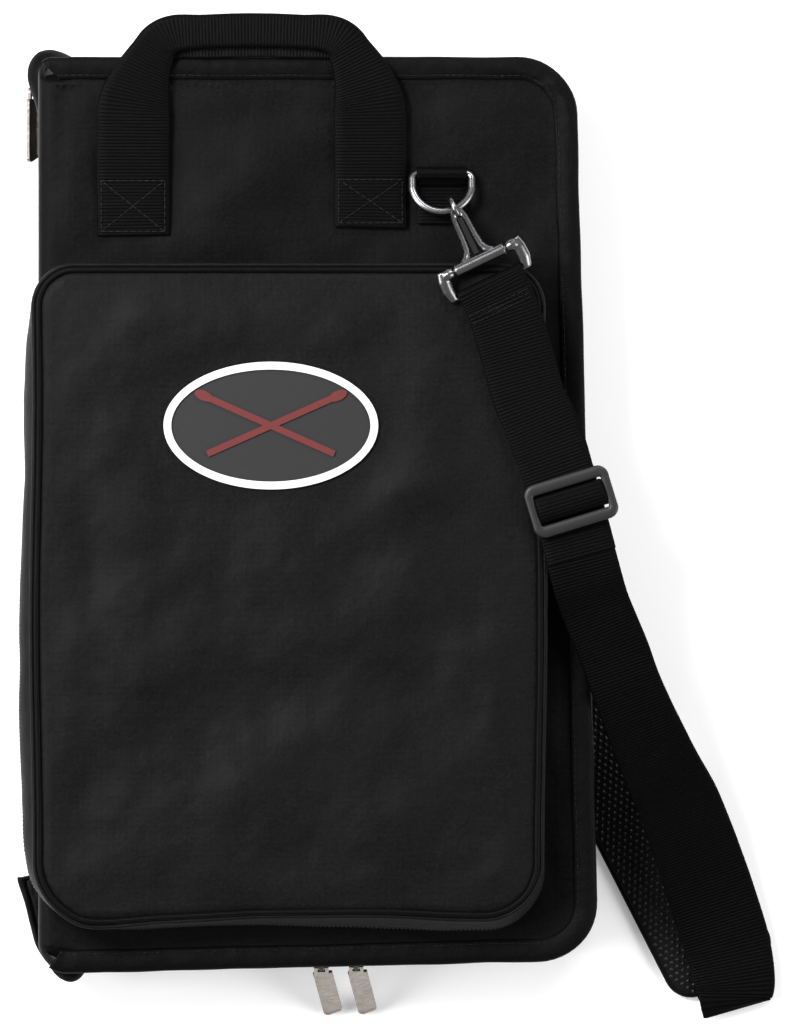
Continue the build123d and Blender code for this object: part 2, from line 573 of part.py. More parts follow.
def pull(long, wide, lean, slot=2.5):
    """Pull with its pivot bar along X through the origin, hanging towards -Y."""
    arms = Pos(0, -2.6) * Rectangle(7.6, 7.0)
    half = wide / 2
    corners = [(-half, -4), (half, -4), (half, -long + wide * 0.4), (-half, -long)]
    blade = make_face(Polyline(*corners, close=True))
    tips = blade.vertices().sort_by(Axis.Y)[:2]
    blade = Rot(0, 0, lean) * fillet(tips, wide * 0.24)
    face = arms + blade - Pos(0, 5.5 - slot) * Rectangle(4.0, 11.0)
    plate = Pos(0, 0, -PULL_T / 2) * extrude(face, PULL_T)
    sunk = offset(blade, -wide * 0.13) - Pos(0, 0.5) * Rectangle(20, 14)
    for z in (-PULL_T / 2 - 1, PULL_T / 2 - 0.25):
        plate -= Pos(0, 0, z) * extrude(sunk, 1.25)
    return plate + rod((-3.0, 0, 0), (3.0, 0, 0), PIVOT_R)


edge_turn = math.degrees(math.atan2(LOW_RIGHT - LOW_LEFT, RIGHT_LOW - LEFT))
low_slope = (LOW_RIGHT - LOW_LEFT) / (RIGHT_LOW - LEFT)
slide_gap = coil_in - coil_out + 0.6
PULL_DOWN = 51.0
for name, x, turned in (("left", 4.6, 180), ("right", 22.8, 0)):
    y = LOW_LEFT + (x - LEFT) * low_slope + coil_out - 0.3
    here = Pos(x, y, ZIP_Z) * Rot(0, 0, edge_turn)
    body = slider(slide_gap, 0.8, LUG_OUT)
    if turned:
        body = mirror(body, Plane.YZ)
    save(f"slider_{name}", here * body)
    hang = here * Pos(0, -PLATE - LUG_OUT, 0) * Rot(PULL_DOWN, 0, 0)
    save(f"pull_{name}", hang * pull(PULL_L, PULL_W, 8.0))

# Pocket slider on the right side of the pocket, under the strap.
POCKET_SLIDER_Y = 20.0
p_gap = P_WALL + 0.6
side = Pos(P_RIGHT - P_WALL_IN + 0.3, POCKET_SLIDER_Y, P_ZIP_Z) * Rot(0, 0, 90)
save("pocket_slider", side * slider(p_gap, 0.8, LUG_OUT))
hang = side * Pos(0, -PLATE - LUG_OUT, 0) * Rot(62, 0, 0)
save("pocket_pull", hang * pull(13, 6.0, 0))

# Rear pocket slider and its pull, beside the spine near the top.
R_SLIDER_Y = 221.0
R_LUG_OUT = 2.6
R_TWIST = 29.0             # the pull lies a little turned in its lug
r_side = Pos(REAR_LEFT - 2.1, R_SLIDER_Y, REAR_ZIP_Z) * Rot(0, 0, -90)
r_lug = Rot(0, 90, 0) * slider(0, 1.4, R_LUG_OUT)
save("rear_slider", r_side * r_lug)
r_pivot = Pos(REAR_LEFT - 2.1 - PLATE - R_LUG_OUT, R_SLIDER_Y, REAR_ZIP_Z)
save("rear_pull", r_pivot * Rot(0, 90 - R_TWIST, 0) * pull(38, 10, 0, 3.6))
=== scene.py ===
import bpy
import math
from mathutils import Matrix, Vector, noise
from mathutils.geometry import delaunay_2d_cdt


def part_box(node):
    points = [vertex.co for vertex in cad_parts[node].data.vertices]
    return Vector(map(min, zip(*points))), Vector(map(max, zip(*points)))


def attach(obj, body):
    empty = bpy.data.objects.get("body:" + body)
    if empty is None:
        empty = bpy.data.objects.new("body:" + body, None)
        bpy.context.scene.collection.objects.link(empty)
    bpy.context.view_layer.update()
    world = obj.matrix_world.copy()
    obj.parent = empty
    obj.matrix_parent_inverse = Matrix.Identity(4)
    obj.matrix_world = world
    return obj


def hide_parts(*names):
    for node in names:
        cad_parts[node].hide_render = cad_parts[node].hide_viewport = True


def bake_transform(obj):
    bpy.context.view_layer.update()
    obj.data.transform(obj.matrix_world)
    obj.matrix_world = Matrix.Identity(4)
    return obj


# Drum stick bag on its back. The frame is in metres; this script counts in millimetres
# and turns them into metres where a mesh is made.

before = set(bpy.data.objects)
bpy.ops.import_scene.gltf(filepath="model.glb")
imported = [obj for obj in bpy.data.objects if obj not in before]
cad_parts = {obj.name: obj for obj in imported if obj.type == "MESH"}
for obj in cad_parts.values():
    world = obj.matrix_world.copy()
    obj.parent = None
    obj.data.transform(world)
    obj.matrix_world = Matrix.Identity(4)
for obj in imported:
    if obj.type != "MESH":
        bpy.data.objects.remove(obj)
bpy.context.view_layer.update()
MM = 0.001


def box_mm(node):
    low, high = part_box(node)
    return [c / MM for c in low], [c / MM for c in high]


def middle(low, high):
    return [(a + b) / 2 for a, b in zip(low, high)]


# ---- places taken from the frame ----
BODY_LOW, BODY_HIGH = box_mm("front_binding")
PANEL_LOW, PANEL_HIGH = box_mm("front_panel")
EDGE_GAP = 0.4                 # the panels stop this far inside the body's outline
LEFT, RIGHT_LOW, TOP = PANEL_LOW[0] - EDGE_GAP, BODY_HIGH[0], BODY_HIGH[1]
LOW_LEFT = BODY_LOW[1] - 0.08
RIGHT_TOP = RIGHT_LOW - 12.0   # the zip side leans in towards the top
LOW_RIGHT = LOW_LEFT + 7.0     # the lower edge rises towards the zip side
FRONT_Z = PANEL_HIGH[2]
FRONT_TAPE = box_mm("front_zip_tape")
BACK_TAPE = box_mm("back_zip_tape")
BACK_Z = box_mm("back_panel")[0][2]
POCKET_LOW, POCKET_HIGH = box_mm("pocket_piping")
FLAP_LOW, FLAP_HIGH = box_mm("flap_piping")
P_LEFT, P_RIGHT, P_TOP = POCKET_LOW[0], POCKET_HIGH[0], POCKET_HIGH[1]
P_LOW = FLAP_LOW[1]
BAND_W = 11.5                  # width of the bindings
CORNER_R = 31.0                # corners away from the spine
SPINE_R = 8.0                  # the spine's top corner
SPINE_LOW_R = 15.0             # the spine's bottom corner
TEETH_IN = 2.3                 # inset of the zips' teeth
BAND_STITCH_IN = 9.8           # inset of the bindings' stitches
Z = Vector((0, 0, 1))


# ---- mesh helpers ----
def add_object(name, data):
    obj = bpy.data.objects.new(name, data)
    bpy.context.scene.collection.objects.link(obj)
    return obj


def make_object(name, verts, faces, material, body=None):
    """A mesh object from points in millimetres."""
    mesh = bpy.data.meshes.new(name)
    mesh.from_pydata([tuple(c * MM for c in v) for v in verts], [], faces)
    mesh.validate()
    mesh.polygons.foreach_set("use_smooth", [True] * len(mesh.polygons))
    mesh.update()
    mesh.materials.append(material)
    obj = add_object(name, mesh)
    if body:
        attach(obj, body)
    return obj


def declare(piece, slot, *nodes, pad=None, **cloth):
    """Hides the CAD nodes that the piece stands for. The slot, pad and cloth arguments are not used."""
    if nodes:
        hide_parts(*nodes)


def rounded(corners, radii, inset, per_side=40, per_corner=12):
    """Closed line round a convex outline (corners anticlockwise), moved inwards by inset.
    Every inset gives the same number of points, so two lines can be joined by quads."""
    count = len(corners)
    moved = []
    for i in range(count):
        a, b, c = (Vector(corners[(i + k) % count]) for k in (-1, 0, 1))
        d1, d2 = (b - a).normalized(), (c - b).normalized()
        n1, n2 = Vector((-d1.y, d1.x)), Vector((-d2.y, d2.x))
        half = (n1 + n2).normalized()
        moved.append((b + half * (inset / max(half.dot(n1), 0.2)), d1, d2, half))
    line = []
    arcs = []
    for i in range(count):
        b, d1, d2, half = moved[i]
        r = max(radii[i] - inset, 0.6)
        turn = math.acos(max(-1, min(1, d1.dot(d2))))
        back = r * math.tan(turn / 2)
        centre = b + half * (r / math.cos(turn / 2))
        start = b - d1 * back
        arc = []
        for k in range(per_corner + 1):
            a = turn * k / per_corner
            spoke = start - centre
            arc.append(centre + Vector((spoke.x * math.cos(a) - spoke.y * math.sin(a),
                                        spoke.x * math.sin(a) + spoke.y * math.cos(a))))
        arcs.append(arc)
    for i in range(count):
        line += arcs[i]
        a, b = arcs[i][-1], arcs[(i + 1) % count][0]
        line += [a.lerp(b, k / per_side) for k in range(1, per_side)]
    return line


BODY_CORNERS = [(LEFT, LOW_LEFT), (RIGHT_LOW, LOW_RIGHT), (RIGHT_TOP, TOP), (LEFT, TOP)]
BODY_RADII = [SPINE_LOW_R, CORNER_R, CORNER_R, SPINE_R]
POCKET_CORNERS = [(P_LEFT, P_LOW), (P_RIGHT, P_LOW), (P_RIGHT, P_TOP), (P_LEFT, P_TOP)]
POCKET_RADII = [CORNER_R, CORNER_R, 23.0, 23.0]


def body_line(inset, per_side=110):
    return rounded(BODY_CORNERS, BODY_RADII, inset, per_side)


def pocket_line(inset, per_side=90):
    """The pocket's outline, its bottom edge sagging a little at the two corners."""
    row = []
    for p in rounded(POCKET_CORNERS, POCKET_RADII, inset, per_side):
        sag = 1.4 * math.exp(-((p.x + 30) / 30) ** 2) - 3.4 * math.exp(-((p.x + 112) / 24) ** 2)
        sag -= 1.9 * math.exp(-((p.x - 76) / 30) ** 2)
        near = max(0.0, min(1.0, (P_LOW + 46 - p.y) / 46))
        row.append(Vector((p.x, p.y + sag * near * near)))
    return row


def stack(lines, close=True):
    """Quads between lines of points that match one to one."""
    verts = [p for line in lines for p in line]
    n = len(lines[0])
    faces = []
    for i in range(len(lines) - 1):
        for k in range(n if close else n - 1):
            m = (k + 1) % n
            faces.append((i * n + k, i * n + m, (i + 1) * n + m, (i + 1) * n + k))
    return verts, faces


def capped(rings):
    """Tube through rings of points, closed at both ends."""
    verts, faces = stack(rings)
    n = len(rings[0])
    faces.append(tuple(range(n))[::-1])
    faces.append(tuple(range(len(verts) - n, len(verts))))
    return verts, faces


def ring(centre, side, up, r, around, flat=1.0):
    """Points of a circle round centre, flattened along up."""
    turns = [2 * math.pi * k / around for k in range(around)]
    return [centre + (side * math.cos(turn) + up * math.sin(turn) * flat) * r for turn in turns]


def fill(line, height, spacing):
    """Triangles inside a closed line, on an even grid, lifted by height(x, y)."""
    count = len(line)
    ys = [p[1] for p in line]
    flat = [Vector((p[0], p[1])) for p in line]
    row = 0
    y = min(ys) + spacing / 2
    while y < max(ys):
        crossings = []
        for i in range(count):
            a, b = flat[i], flat[(i + 1) % count]
            if (a.y > y) != (b.y > y):
                crossings.append(a.x + (y - a.y) / (b.y - a.y) * (b.x - a.x))
        crossings.sort()
        if len(crossings) >= 2:
            x = crossings[0] + spacing * (0.6 + 0.5 * (row % 2))
            while x < crossings[-1] - spacing * 0.5:
                flat.append(Vector((x, y)))
                x += spacing
        y += spacing * 0.87
        row += 1
    edges = [(i, (i + 1) % count) for i in range(count)]
    out = delaunay_2d_cdt(flat, edges, [list(range(count))], 1, 1e-4)
    verts = [(v.x, v.y, height(v.x, v.y)) for v in out[0]]
    return verts, [tuple(f) for f in out[2]]


def merge(*parts):
    """Several (verts, faces) as one."""
    verts, faces = [], []
    for v, f in parts:
        base = len(verts)
        verts += [tuple(p) for p in v]
        faces += [tuple(i + base for i in face) for face in f]
    return verts, faces


def weld(obj, distance=0.05):
    obj.modifiers.new("weld", "WELD").merge_threshold = distance * MM


def ease(t):
    """0 to 1, smooth at both ends."""
    t = max(0.0, min(1.0, t))
    return t * t * (3 - 2 * t)


def ridge(x, y, ax, ay, bx, by, width, height):
    """A soft fold along the line a-b."""
    dx, dy = bx - ax, by - ay
    long2 = dx * dx + dy * dy
    t = max(0.0, min(1.0, ((x - ax) * dx + (y - ay) * dy) / long2))
    px, py = ax + dx * t - x, ay + dy * t - y
    ends = 1.0 - 0.55 * abs(2 * t - 1)
    return height * ends * math.exp(-(px * px + py * py) / (width * width))


def rumple(x, y, scale, seed):
    return noise.noise(Vector((x / scale, y / scale, seed)))


# ---- materials ----
def new_material(name):
    material = bpy.data.materials.new(name)
    material.use_nodes = True
    tree = material.node_tree
    return material, tree, tree.nodes["Principled BSDF"]


def put(node, values):
    for name, value in values.items():
        node.inputs[name].default_value = value


def position(tree, scale=(1000, 1000, 1000), turn=(0, 0, 0)):
    """The piece's own millimetres, which ride with it, stretched by scale / 1000."""
    coord = tree.nodes.new("ShaderNodeTexCoord")
    mapping = tree.nodes.new("ShaderNodeMapping")
    put(mapping, {"Scale": scale, "Rotation": turn})
    tree.links.new(coord.outputs["Object"], mapping.inputs["Vector"])
    return mapping.outputs["Vector"]


def mix_colors(tree, factor, a, b):
    mix = tree.nodes.new("ShaderNodeMix")
    mix.data_type = "RGBA"
    mix.inputs["A"].default_value = (*a, 1)
    mix.inputs["B"].default_value = (*b, 1)
    tree.links.new(factor, mix.inputs["Factor"])
    return mix.outputs["Result"]


def bump_from(tree, height, strength, distance, below=None):
    bump = tree.nodes.new("ShaderNodeBump")
    put(bump, {"Strength": strength, "Distance": distance * MM})
    tree.links.new(height, bump.inputs["Height"])
    if below is not None:
        tree.links.new(below, bump.inputs["Normal"])
    return bump.outputs["Normal"]


def maths(tree, operation, a, b=None, value=0.5, add=None):
    node = tree.nodes.new("ShaderNodeMath")
    node.operation = operation
    tree.links.new(a, node.inputs[0])
    if b is not None:
        tree.links.new(b, node.inputs[1])
    else:
        node.inputs[1].default_value = value
    if add is not None:
        node.inputs[2].default_value = add
    return node.outputs[0]


def noise_tex(tree, vector, scale, detail=3.0, rough=0.55):
    node = tree.nodes.new("ShaderNodeTexNoise")
    put(node, {"Scale": scale, "Detail": detail, "Roughness": rough})
    tree.links.new(vector, node.inputs["Vector"])
    return node.outputs["Fac"]


def wave_tex(tree, vector, scale, direction, distortion=0.0):
    node = tree.nodes.new("ShaderNodeTexWave")
    put(node, {"Scale": scale, "Distortion": distortion})
    node.bands_direction = direction
    tree.links.new(vector, node.inputs["Vector"])
    return node.outputs["Fac"]


def cloth_material(name, dark, light, roughness, thread, weave, crease, gloss, wall=False):
    """Coated weave of threads at that pitch in millimetres, with cloudy tone and soft creases.
    A wall also shows the weave along z."""
    material, tree, shader = new_material(name)
    place = position(tree)
    swirl = noise_tex(tree, place, 0.035, 4.0)
    speckle = noise_tex(tree, place, 0.85, 3.0)
    fleck = maths(tree, "MULTIPLY", maths(tree, "POWER", speckle, value=4.0), value=5.0)
    both = maths(tree, "ADD", fleck, maths(tree, "MULTIPLY", swirl, value=0.62))
    color = mix_colors(tree, both, dark, light)
    tree.links.new(color, shader.inputs["Base Color"])
    k = math.pi / (10.0 * thread)
    warp = wave_tex(tree, place, k, "X", 0.4)
    weft = wave_tex(tree, place, k, "Y", 0.4)
    rise = wave_tex(tree, place, k, "Z", 0.4)
    lumps = maths(tree, "MULTIPLY", warp, weft)
    if wall:
        lumps = maths(tree, "ADD", lumps, rise)
    normal = bump_from(tree, lumps, weave, 0.12)
    if crease:
        folds = noise_tex(tree, place, 0.11, 5.0, 0.5)
        normal = bump_from(tree, folds, crease, 2.0, normal)
    tree.links.new(normal, shader.inputs["Normal"])
    rough = maths(tree, "MULTIPLY_ADD", speckle, value=0.16, add=roughness - 0.08)
    tree.links.new(rough, shader.inputs["Roughness"])
    put(shader, {"Specular IOR Level": gloss, "Sheen Weight": 0.004, "Sheen Roughness": 0.4,
                 "Sheen Tint": (0.8, 0.82, 0.86, 1)})
    return material


def metal_material(name, color, roughness, rub=0.12, pebble=0.0):
    """Plated metal with faint rubbing and uneven polish."""
    material, tree, shader = new_material(name)
    place = position(tree)
    cloud = noise_tex(tree, place, 0.22, 4.0)
    scratch = noise_tex(tree, position(tree, (4000, 250, 4000), (0, 0, 0.5)), 1.0, 3.0)
    tone = mix_colors(tree, cloud, [c * (1 - rub) for c in color], [min(1, c * (1 + rub)) for c in color])
    tree.links.new(tone, shader.inputs["Base Color"])
    put(shader, {"Metallic": 1.0})
    rough = maths(tree, "MULTIPLY_ADD", scratch, value=0.18, add=max(0.03, roughness - 0.09))
    tree.links.new(rough, shader.inputs["Roughness"])
    normal = bump_from(tree, scratch, 0.12, 0.03)
    if pebble:
        normal = bump_from(tree, noise_tex(tree, place, 0.55, 2.0), pebble, 0.5, normal)
    tree.links.new(normal, shader.inputs["Normal"])
    return material


def plastic_material(name, color, roughness, grain=0.2):
    """Moulded rubber or nylon with a fine grain."""
    material, tree, shader = new_material(name)
    place = position(tree)
    cloud = noise_tex(tree, place, 0.3, 4.0)
    fine = noise_tex(tree, place, 3.0, 2.0)
    tone = mix_colors(tree, cloud, [c * 0.86 for c in color], [min(1, c * 1.14) for c in color])
    tree.links.new(tone, shader.inputs["Base Color"])
    tree.links.new(bump_from(tree, fine, grain, 0.08), shader.inputs["Normal"])
    put(shader, {"Roughness": roughness, "Specular IOR Level": 0.3})
    return material


OXFORD = cloth_material("oxford", (0.0016, 0.0016, 0.0017), (0.0056, 0.0056, 0.0058),
                        0.42, 0.62, 0.6, 0.25, 0.06)
# Darker copy of the oxford, with less gloss, for the front panel: painted shade that holds back the key
# light there.
OXFORD_COVER_SHADED = cloth_material("oxford_cover_shaded", (0.0012, 0.0012, 0.0013), (0.0044, 0.0044, 0.0046),
                              0.42, 0.62, 0.6, 0.25, 0.038)
# Darker copy of the oxford for the walls, spine and gussets: painted shade on the sides that turn away from
# the light. It also shows the weave along z.
OXFORD_WALL_SHADED = cloth_material("oxford_wall_shaded", (0.0014, 0.0014, 0.0015), (0.0046, 0.0046, 0.0048),
                             0.44, 0.62, 0.5, 0.35, 0.07, wall=True)
BINDING = cloth_material("binding", (0.0010, 0.0010, 0.0011), (0.0028, 0.0028, 0.003),
                         0.46, 0.8, 0.6, 0.25, 0.045)
WEBBING = cloth_material("webbing", (0.0006, 0.0006, 0.0007), (0.0020, 0.0020, 0.0021),
                         0.42, 0.45, 0.4, 0.0, 0.032)
TAPE = cloth_material("zip_tape", (0.0010, 0.0010, 0.0010), (0.002, 0.002, 0.002),
                      0.7, 0.5, 0.5, 0.0, 0.05, wall=True)
LINING = cloth_material("lining", (0.03, 0.03, 0.032), (0.055, 0.055, 0.06), 0.5, 0.5, 0.4, 0.2, 0.2)
THREAD = cloth_material("thread", (0.0016, 0.0016, 0.0016), (0.005, 0.005, 0.005), 0.4, 0.3, 0.5, 0.0, 0.15)
NICKEL = metal_material("nickel", (0.25, 0.228, 0.205), 0.34, 0.3, 0.7)
GATE_STEEL = metal_material("gate_steel", (0.05, 0.05, 0.052), 0.36)
DARK_NICKEL = metal_material("dark_nickel", (0.19, 0.19, 0.195), 0.27)
BLACK_NICKEL = metal_material("black_nickel", (0.035, 0.035, 0.037), 0.36)
MOULDED = plastic_material("moulded_black", (0.0135, 0.0135, 0.014), 0.42, 0.3)
COIL = plastic_material("coil", (0.004, 0.004, 0.0045), 0.38)
RUBBER_DARK = plastic_material("rubber_dark", (0.012, 0.012, 0.013), 0.5)
RUBBER_PALE = plastic_material("rubber_pale", (0.62, 0.62, 0.62), 0.45)
RUBBER_RED = plastic_material("rubber_red", (0.10, 0.014, 0.013), 0.5)
GRIP = plastic_material("grip_mesh", (0.004, 0.004, 0.0045), 0.3)

# ---- camera, light and floor ----
VIEW_MID = (43.2, 0.3)         # the picture's middle
VIEW_H = 532.5                 # what the picture's height covers, at the front panel
DISTANCE = 5000.0              # far off, so the view is nearly parallel
SENSOR = 36.0
camera = add_object("camera", bpy.data.cameras.new("camera"))
camera.data.sensor_fit = "VERTICAL"
camera.data.sensor_height = SENSOR
camera.data.lens = SENSOR * DISTANCE / VIEW_H
camera.data.clip_end = 20.0
camera.location = (VIEW_MID[0] * MM, VIEW_MID[1] * MM, (DISTANCE + FRONT_Z) * MM)
bpy.context.scene.camera = camera
bpy.context.scene.view_settings.view_transform = "Standard"

FLOOR = 4.0                    # half the floor's size in metres
floor_mesh = bpy.data.meshes.new("floor")
floor_mesh.from_pydata([(-FLOOR, -FLOOR, 0), (FLOOR, -FLOOR, 0), (FLOOR, FLOOR, 0), (-FLOOR, FLOOR, 0)],
                       [], [(0, 1, 2, 3)])
floor = add_object("floor", floor_mesh)
floor_material, _, floor_shader = new_material("floor")
put(floor_shader, {"Base Color": (0.93, 0.93, 0.93, 1), "Roughness": 0.9,
                   "Emission Color": (1, 1, 1, 1), "Emission Strength": 0.2})
floor_mesh.materials.append(floor_material)


def softbox(name, place, aim, size, power):
    """Area light; places and sizes in metres."""
    data = bpy.data.lights.new(name, "AREA")
    data.shape = "RECTANGLE"
    data.size, data.size_y = size
    data.energy = power
    lamp = add_object(name, data)
    lamp.location = place
    way = Vector(aim) - Vector(place)
    lamp.rotation_euler = way.to_track_quat("-Z", "Y").to_euler()


softbox("key", (-0.95, 0.75, 1.75), (0.05, -0.1, 0.05), (0.7, 0.7), 56)
softbox("back", (0.7, 1.7, 1.2), (0.05, 0.0, 0.05), (1.2, 0.6), 24)
softbox("left", (-1.9, -0.3, 1.2), (0.0, 0.0, 0.05), (0.9, 1.3), 34)
softbox("right", (1.9, -0.4, 1.3), (0.1, 0.0, 0.0), (1.0, 1.4), 28)
world = bpy.data.worlds.new("world")
bpy.context.scene.world = world
world.use_nodes = True
put(world.node_tree.nodes["Background"], {"Color": (1, 1, 1, 1), "Strength": 0.32})


# ---- webbing and stitches ----
RIB = 1.7                     # pitch of the webbing's cross ribs


def steps_along(lengths, step, whole):
    """Even steps along segments of these lengths: the total, and each step as (segment, share of it)."""
    marks = [0.0]
    for length in lengths:
        marks.append(marks[-1] + length)
    count = max(2, whole(marks[-1] / step))
    out, j = [], 0
    for i in range(count + 1):
        want = marks[-1] * i / count
        while j < len(marks) - 2 and marks[j + 1] < want:
            j += 1
        out.append((j, (want - marks[j]) / max(marks[j + 1] - marks[j], 1e-9)))
    return marks[-1], out


def smooth_line(points, step):
    """Even points along a Catmull-Rom line through points; each point is a tuple of any length."""
    size = len(points[0])
    fine = []
    for i in range(len(points) - 1):
        p0, p1 = points[max(i - 1, 0)], points[i]
        p2, p3 = points[i + 1], points[min(i + 2, len(points) - 1)]
        for k in range(24):
            t = k / 24
            t2, t3 = t * t, t * t * t
            fine.append([0.5 * (2 * p1[c] + (p2[c] - p0[c]) * t
                                + (2 * p0[c] - 5 * p1[c] + 4 * p2[c] - p3[c]) * t2
                                + (3 * p1[c] - p0[c] - 3 * p2[c] + p3[c]) * t3) for c in range(size)])
    fine.append(list(points[-1]))
    long, steps = steps_along([math.dist(a[:3], b[:3]) for a, b in zip(fine, fine[1:])], step, round)
    return [[a + (b - a) * t for a, b in zip(fine[j], fine[j + 1])] for j, t in steps], long


def webbing(name, points, width, thick, body, ribs=0.24, wave=0.0, material=WEBBING):
    """Ribbed webbing through points (x, y, z, side x, side y, side z[, width, thickness])."""
    rows, long = smooth_line(points, RIB / 5)
    across = [-0.94 + 1.88 * k / 8 for k in range(9)]
    section = [(u, 1) for u in across] + [(1.0, 0.55), (1.0, -0.55)]
    section += [(-u, -1) for u in across] + [(-1.0, -0.55), (-1.0, 0.55)]
    lines = []
    for i, row in enumerate(rows):
        here = Vector(row[:3])
        ahead = Vector(rows[min(i + 1, len(rows) - 1)][:3])
        behind = Vector(rows[max(i - 1, 0)][:3])
        way = (ahead - behind).normalized()
        side = Vector(row[3:6])
        side = (side - way * side.dot(way)).normalized()
        up = side.cross(way).normalized()
        s = long * i / (len(rows) - 1)
        w = (row[6] if len(row) > 6 else width) / 2
        t = (row[7] if len(row) > 7 else thick) / 2
        rib = abs(math.sin(math.pi * s / RIB)) ** 0.7
        wander = 0.25 * noise.noise(Vector((s / 23, 1.0, 0)))
        line = []
        for u, v in section:
            lift = t * v + (ribs * (rib - 0.5) if abs(v) == 1 else 0)
            cup = wave * (u * u - 0.4)
            line.append(here + side * (u * w + wander) + up * (lift + cup))
        lines.append(line)
    return make_object(name, *capped(lines), material, body)


def capsule(a, b, r, around=6):
    """Closed little capsule from a to b, as verts and faces."""
    way = (b - a).normalized()
    side = way.orthogonal().normalized()
    other = way.cross(side)
    spots = [(a - way * r * 0.9, 0.35), (a, 0.95), ((a + b) / 2, 1.08), (b, 0.95), (b + way * r * 0.9, 0.35)]
    return capped([ring(centre, side, other, r * grow, around) for centre, grow in spots])


def stitches(name, lines, body, length=2.5, gap=0.9, r=0.26, material=THREAD):
    """Sewn stitches along lines of points."""
    parts = []
    for line in lines:
        rows, long = smooth_line([tuple(p) for p in line], (length + gap) / 4)
        k = 0
        while k + 3 < len(rows):
            a, b = Vector(rows[k][:3]), Vector(rows[k + 3][:3])
            dip = Vector((0, 0, 0.12))
            parts.append(capsule(a - dip, b - dip, r))
            k += 4
    return make_object(name, *merge(*parts), material, body)


def tube(name, line, r, body, material):
    """Round cord along a closed line of points."""
    rings = []
    for i, p in enumerate(line):
        way = (Vector(line[(i + 1) % len(line)]) - Vector(line[i - 1])).normalized()
        side = way.cross(Z).normalized()
        rings.append(ring(Vector(p), side, side.cross(way), r, 10))
    rings.append(rings[0])
    return make_object(name, *stack(rings), material, body)


# ---- folds and outlines ----
# Soft folds: from (x, y) to (x, y), half width, height.
COVER_FOLDS = [(-60, 140, 10, 215, 18, 2.4), (-50, 215, 20, 150, 20, 1.6), (60, 215, 120, 190, 18, 2.2),
               (84, 225, 128, 205, 8, 1.3), (100, 150, 130, 120, 12, 1.8), (124, 95, 131, 40, 8, 1.5),
               (128, -60, 136, -190, 8, 1.6), (100, -222, 138, -205, 7, 1.5),
               (-128, 150, -120, 222, 12, 1.8), (-70, 205, 60, 208, 9, -1.0)]
POCKET_FOLDS = [(-130, -120, -40, -50, 18, 2.6), (-112, -60, -50, -18, 13, 1.8),
                (-100, -190, 0, -110, 20, 2.4), (-128, 60, -90, 100, 14, 2.2),
                (-120, 10, -70, -20, 14, 2.0), (-70, 105, 20, 92, 16, 1.2), (20, -180, 90, -120, 18, 2.4),
                (40, -110, 104, -60, 15, 2.0), (-10, -75, 70, -25, 17, 2.2), (30, 4, 98, 22, 14, 1.4),
                (-60, -200, 40, -192, 8, 1.2), (84, -198, 106, -176, 7, 1.2),
                (-60, -95, 60, -85, 16, -1.8), (60, -20, 70, -170, 16, -1.4),
                (-118, 100, -112, -160, 9, -1.2)]


def cover_height(x, y):
    """The front panel's soft folds; cover_z flattens them at the bindings."""
    z = sum(ridge(x, y, *fold) for fold in COVER_FOLDS)
    return z + 2.4 * rumple(x, y, 44, 3.3) + 0.9 * rumple(x, y, 20, 8.1)


def inside_fade(x, y, reach=14.0):
    """0 at the body's binding, 1 well inside it."""
    right = RIGHT_TOP + (TOP - y) / (TOP - LOW_RIGHT) * (RIGHT_LOW - RIGHT_TOP)
    low = LOW_LEFT + (x - LEFT) / (RIGHT_LOW - LEFT) * (LOW_RIGHT - LOW_LEFT)
    near = min(x - LEFT + BAND_W - 5, right - x, TOP - y, y - low) - BAND_W
    return ease(near / reach)


def cover_z(x, y):
    """Height of the front panel: flat at the bindings, a little up at the spine."""
    spine = 1 - ease((x - LEFT - 2) / 16)
    return FRONT_Z - 0.5 + inside_fade(x, y) * (cover_height(x, y) - 0.6) + 0.5 * spine


def run_of(line, keep):
    """Indices of the longest stretch of a closed line whose points pass keep."""
    n = len(line)
    good = [keep(p) for p in line]
    if all(good):
        return list(range(n))
    start = next(i for i in range(n) if good[i] and not good[i - 1])
    best, i = [], start
    while i < start + n:
        stretch = []
        while i < start + n and good[i % n]:
            stretch.append(i % n)
            i += 1
        if len(stretch) > len(best):
            best = stretch
        i += 1
    return best


def shaped(line_of, inset, z, shape=None, picks=None):
    """The outline at inset and z, each point moved by shape(point, outwards, inset)."""
    base, inner, line = line_of(0), line_of(1.0), line_of(inset)
    row = []
    for i in picks or range(len(line)):
        p = Vector((line[i].x, line[i].y, z))
        out = (base[i] - inner[i]).normalized()
        row.append(shape(p, Vector((out.x, out.y, 0)), inset) if shape else p)
    return row


def ribbon(name, line_of, section, material, body, keep=None, shape=None):
    """Closed section [(inset, z)] swept round an outline; part of it if keep is given."""
    base = line_of(0)
    picks = run_of(base, keep) if keep else list(range(len(base)))
    lines = [shaped(line_of, inset, z, shape, picks) for inset, z in section]
    lines.append(lines[0])
    n = len(picks)
    verts, faces = stack(lines, close=n == len(base))
    if n < len(base):
        rows = len(section)
        faces.append(tuple(r * n for r in range(rows)))
        faces.append(tuple(r * n + n - 1 for r in range(rows))[::-1])
    return make_object(name, verts, faces, material, body)


def even(line, step):
    """Even points and directions along a dense line."""
    pts = [Vector(p) for p in line]
    _, steps = steps_along([(b - a).length for a, b in zip(pts, pts[1:])], step, int)
    return [(pts[j].lerp(pts[j + 1], t), (pts[j + 1] - pts[j]).normalized()) for j, t in steps]


def teeth(name, line, up, body, pitch=2.2, r=0.5, half=1.05, phase=0.0, material=None):
    """Row of zip teeth along a line; up is the way across the zip."""
    parts = []
    for i, (p, way) in enumerate(even(line, pitch)):
        lean = way * (0.25 if i % 2 else -0.25)
        q = p + way * phase * pitch
        parts.append(capsule(q - up * half - lean, q + up * half + lean, r, 5))
    return make_object(name, *merge(*parts), material or COIL, body)


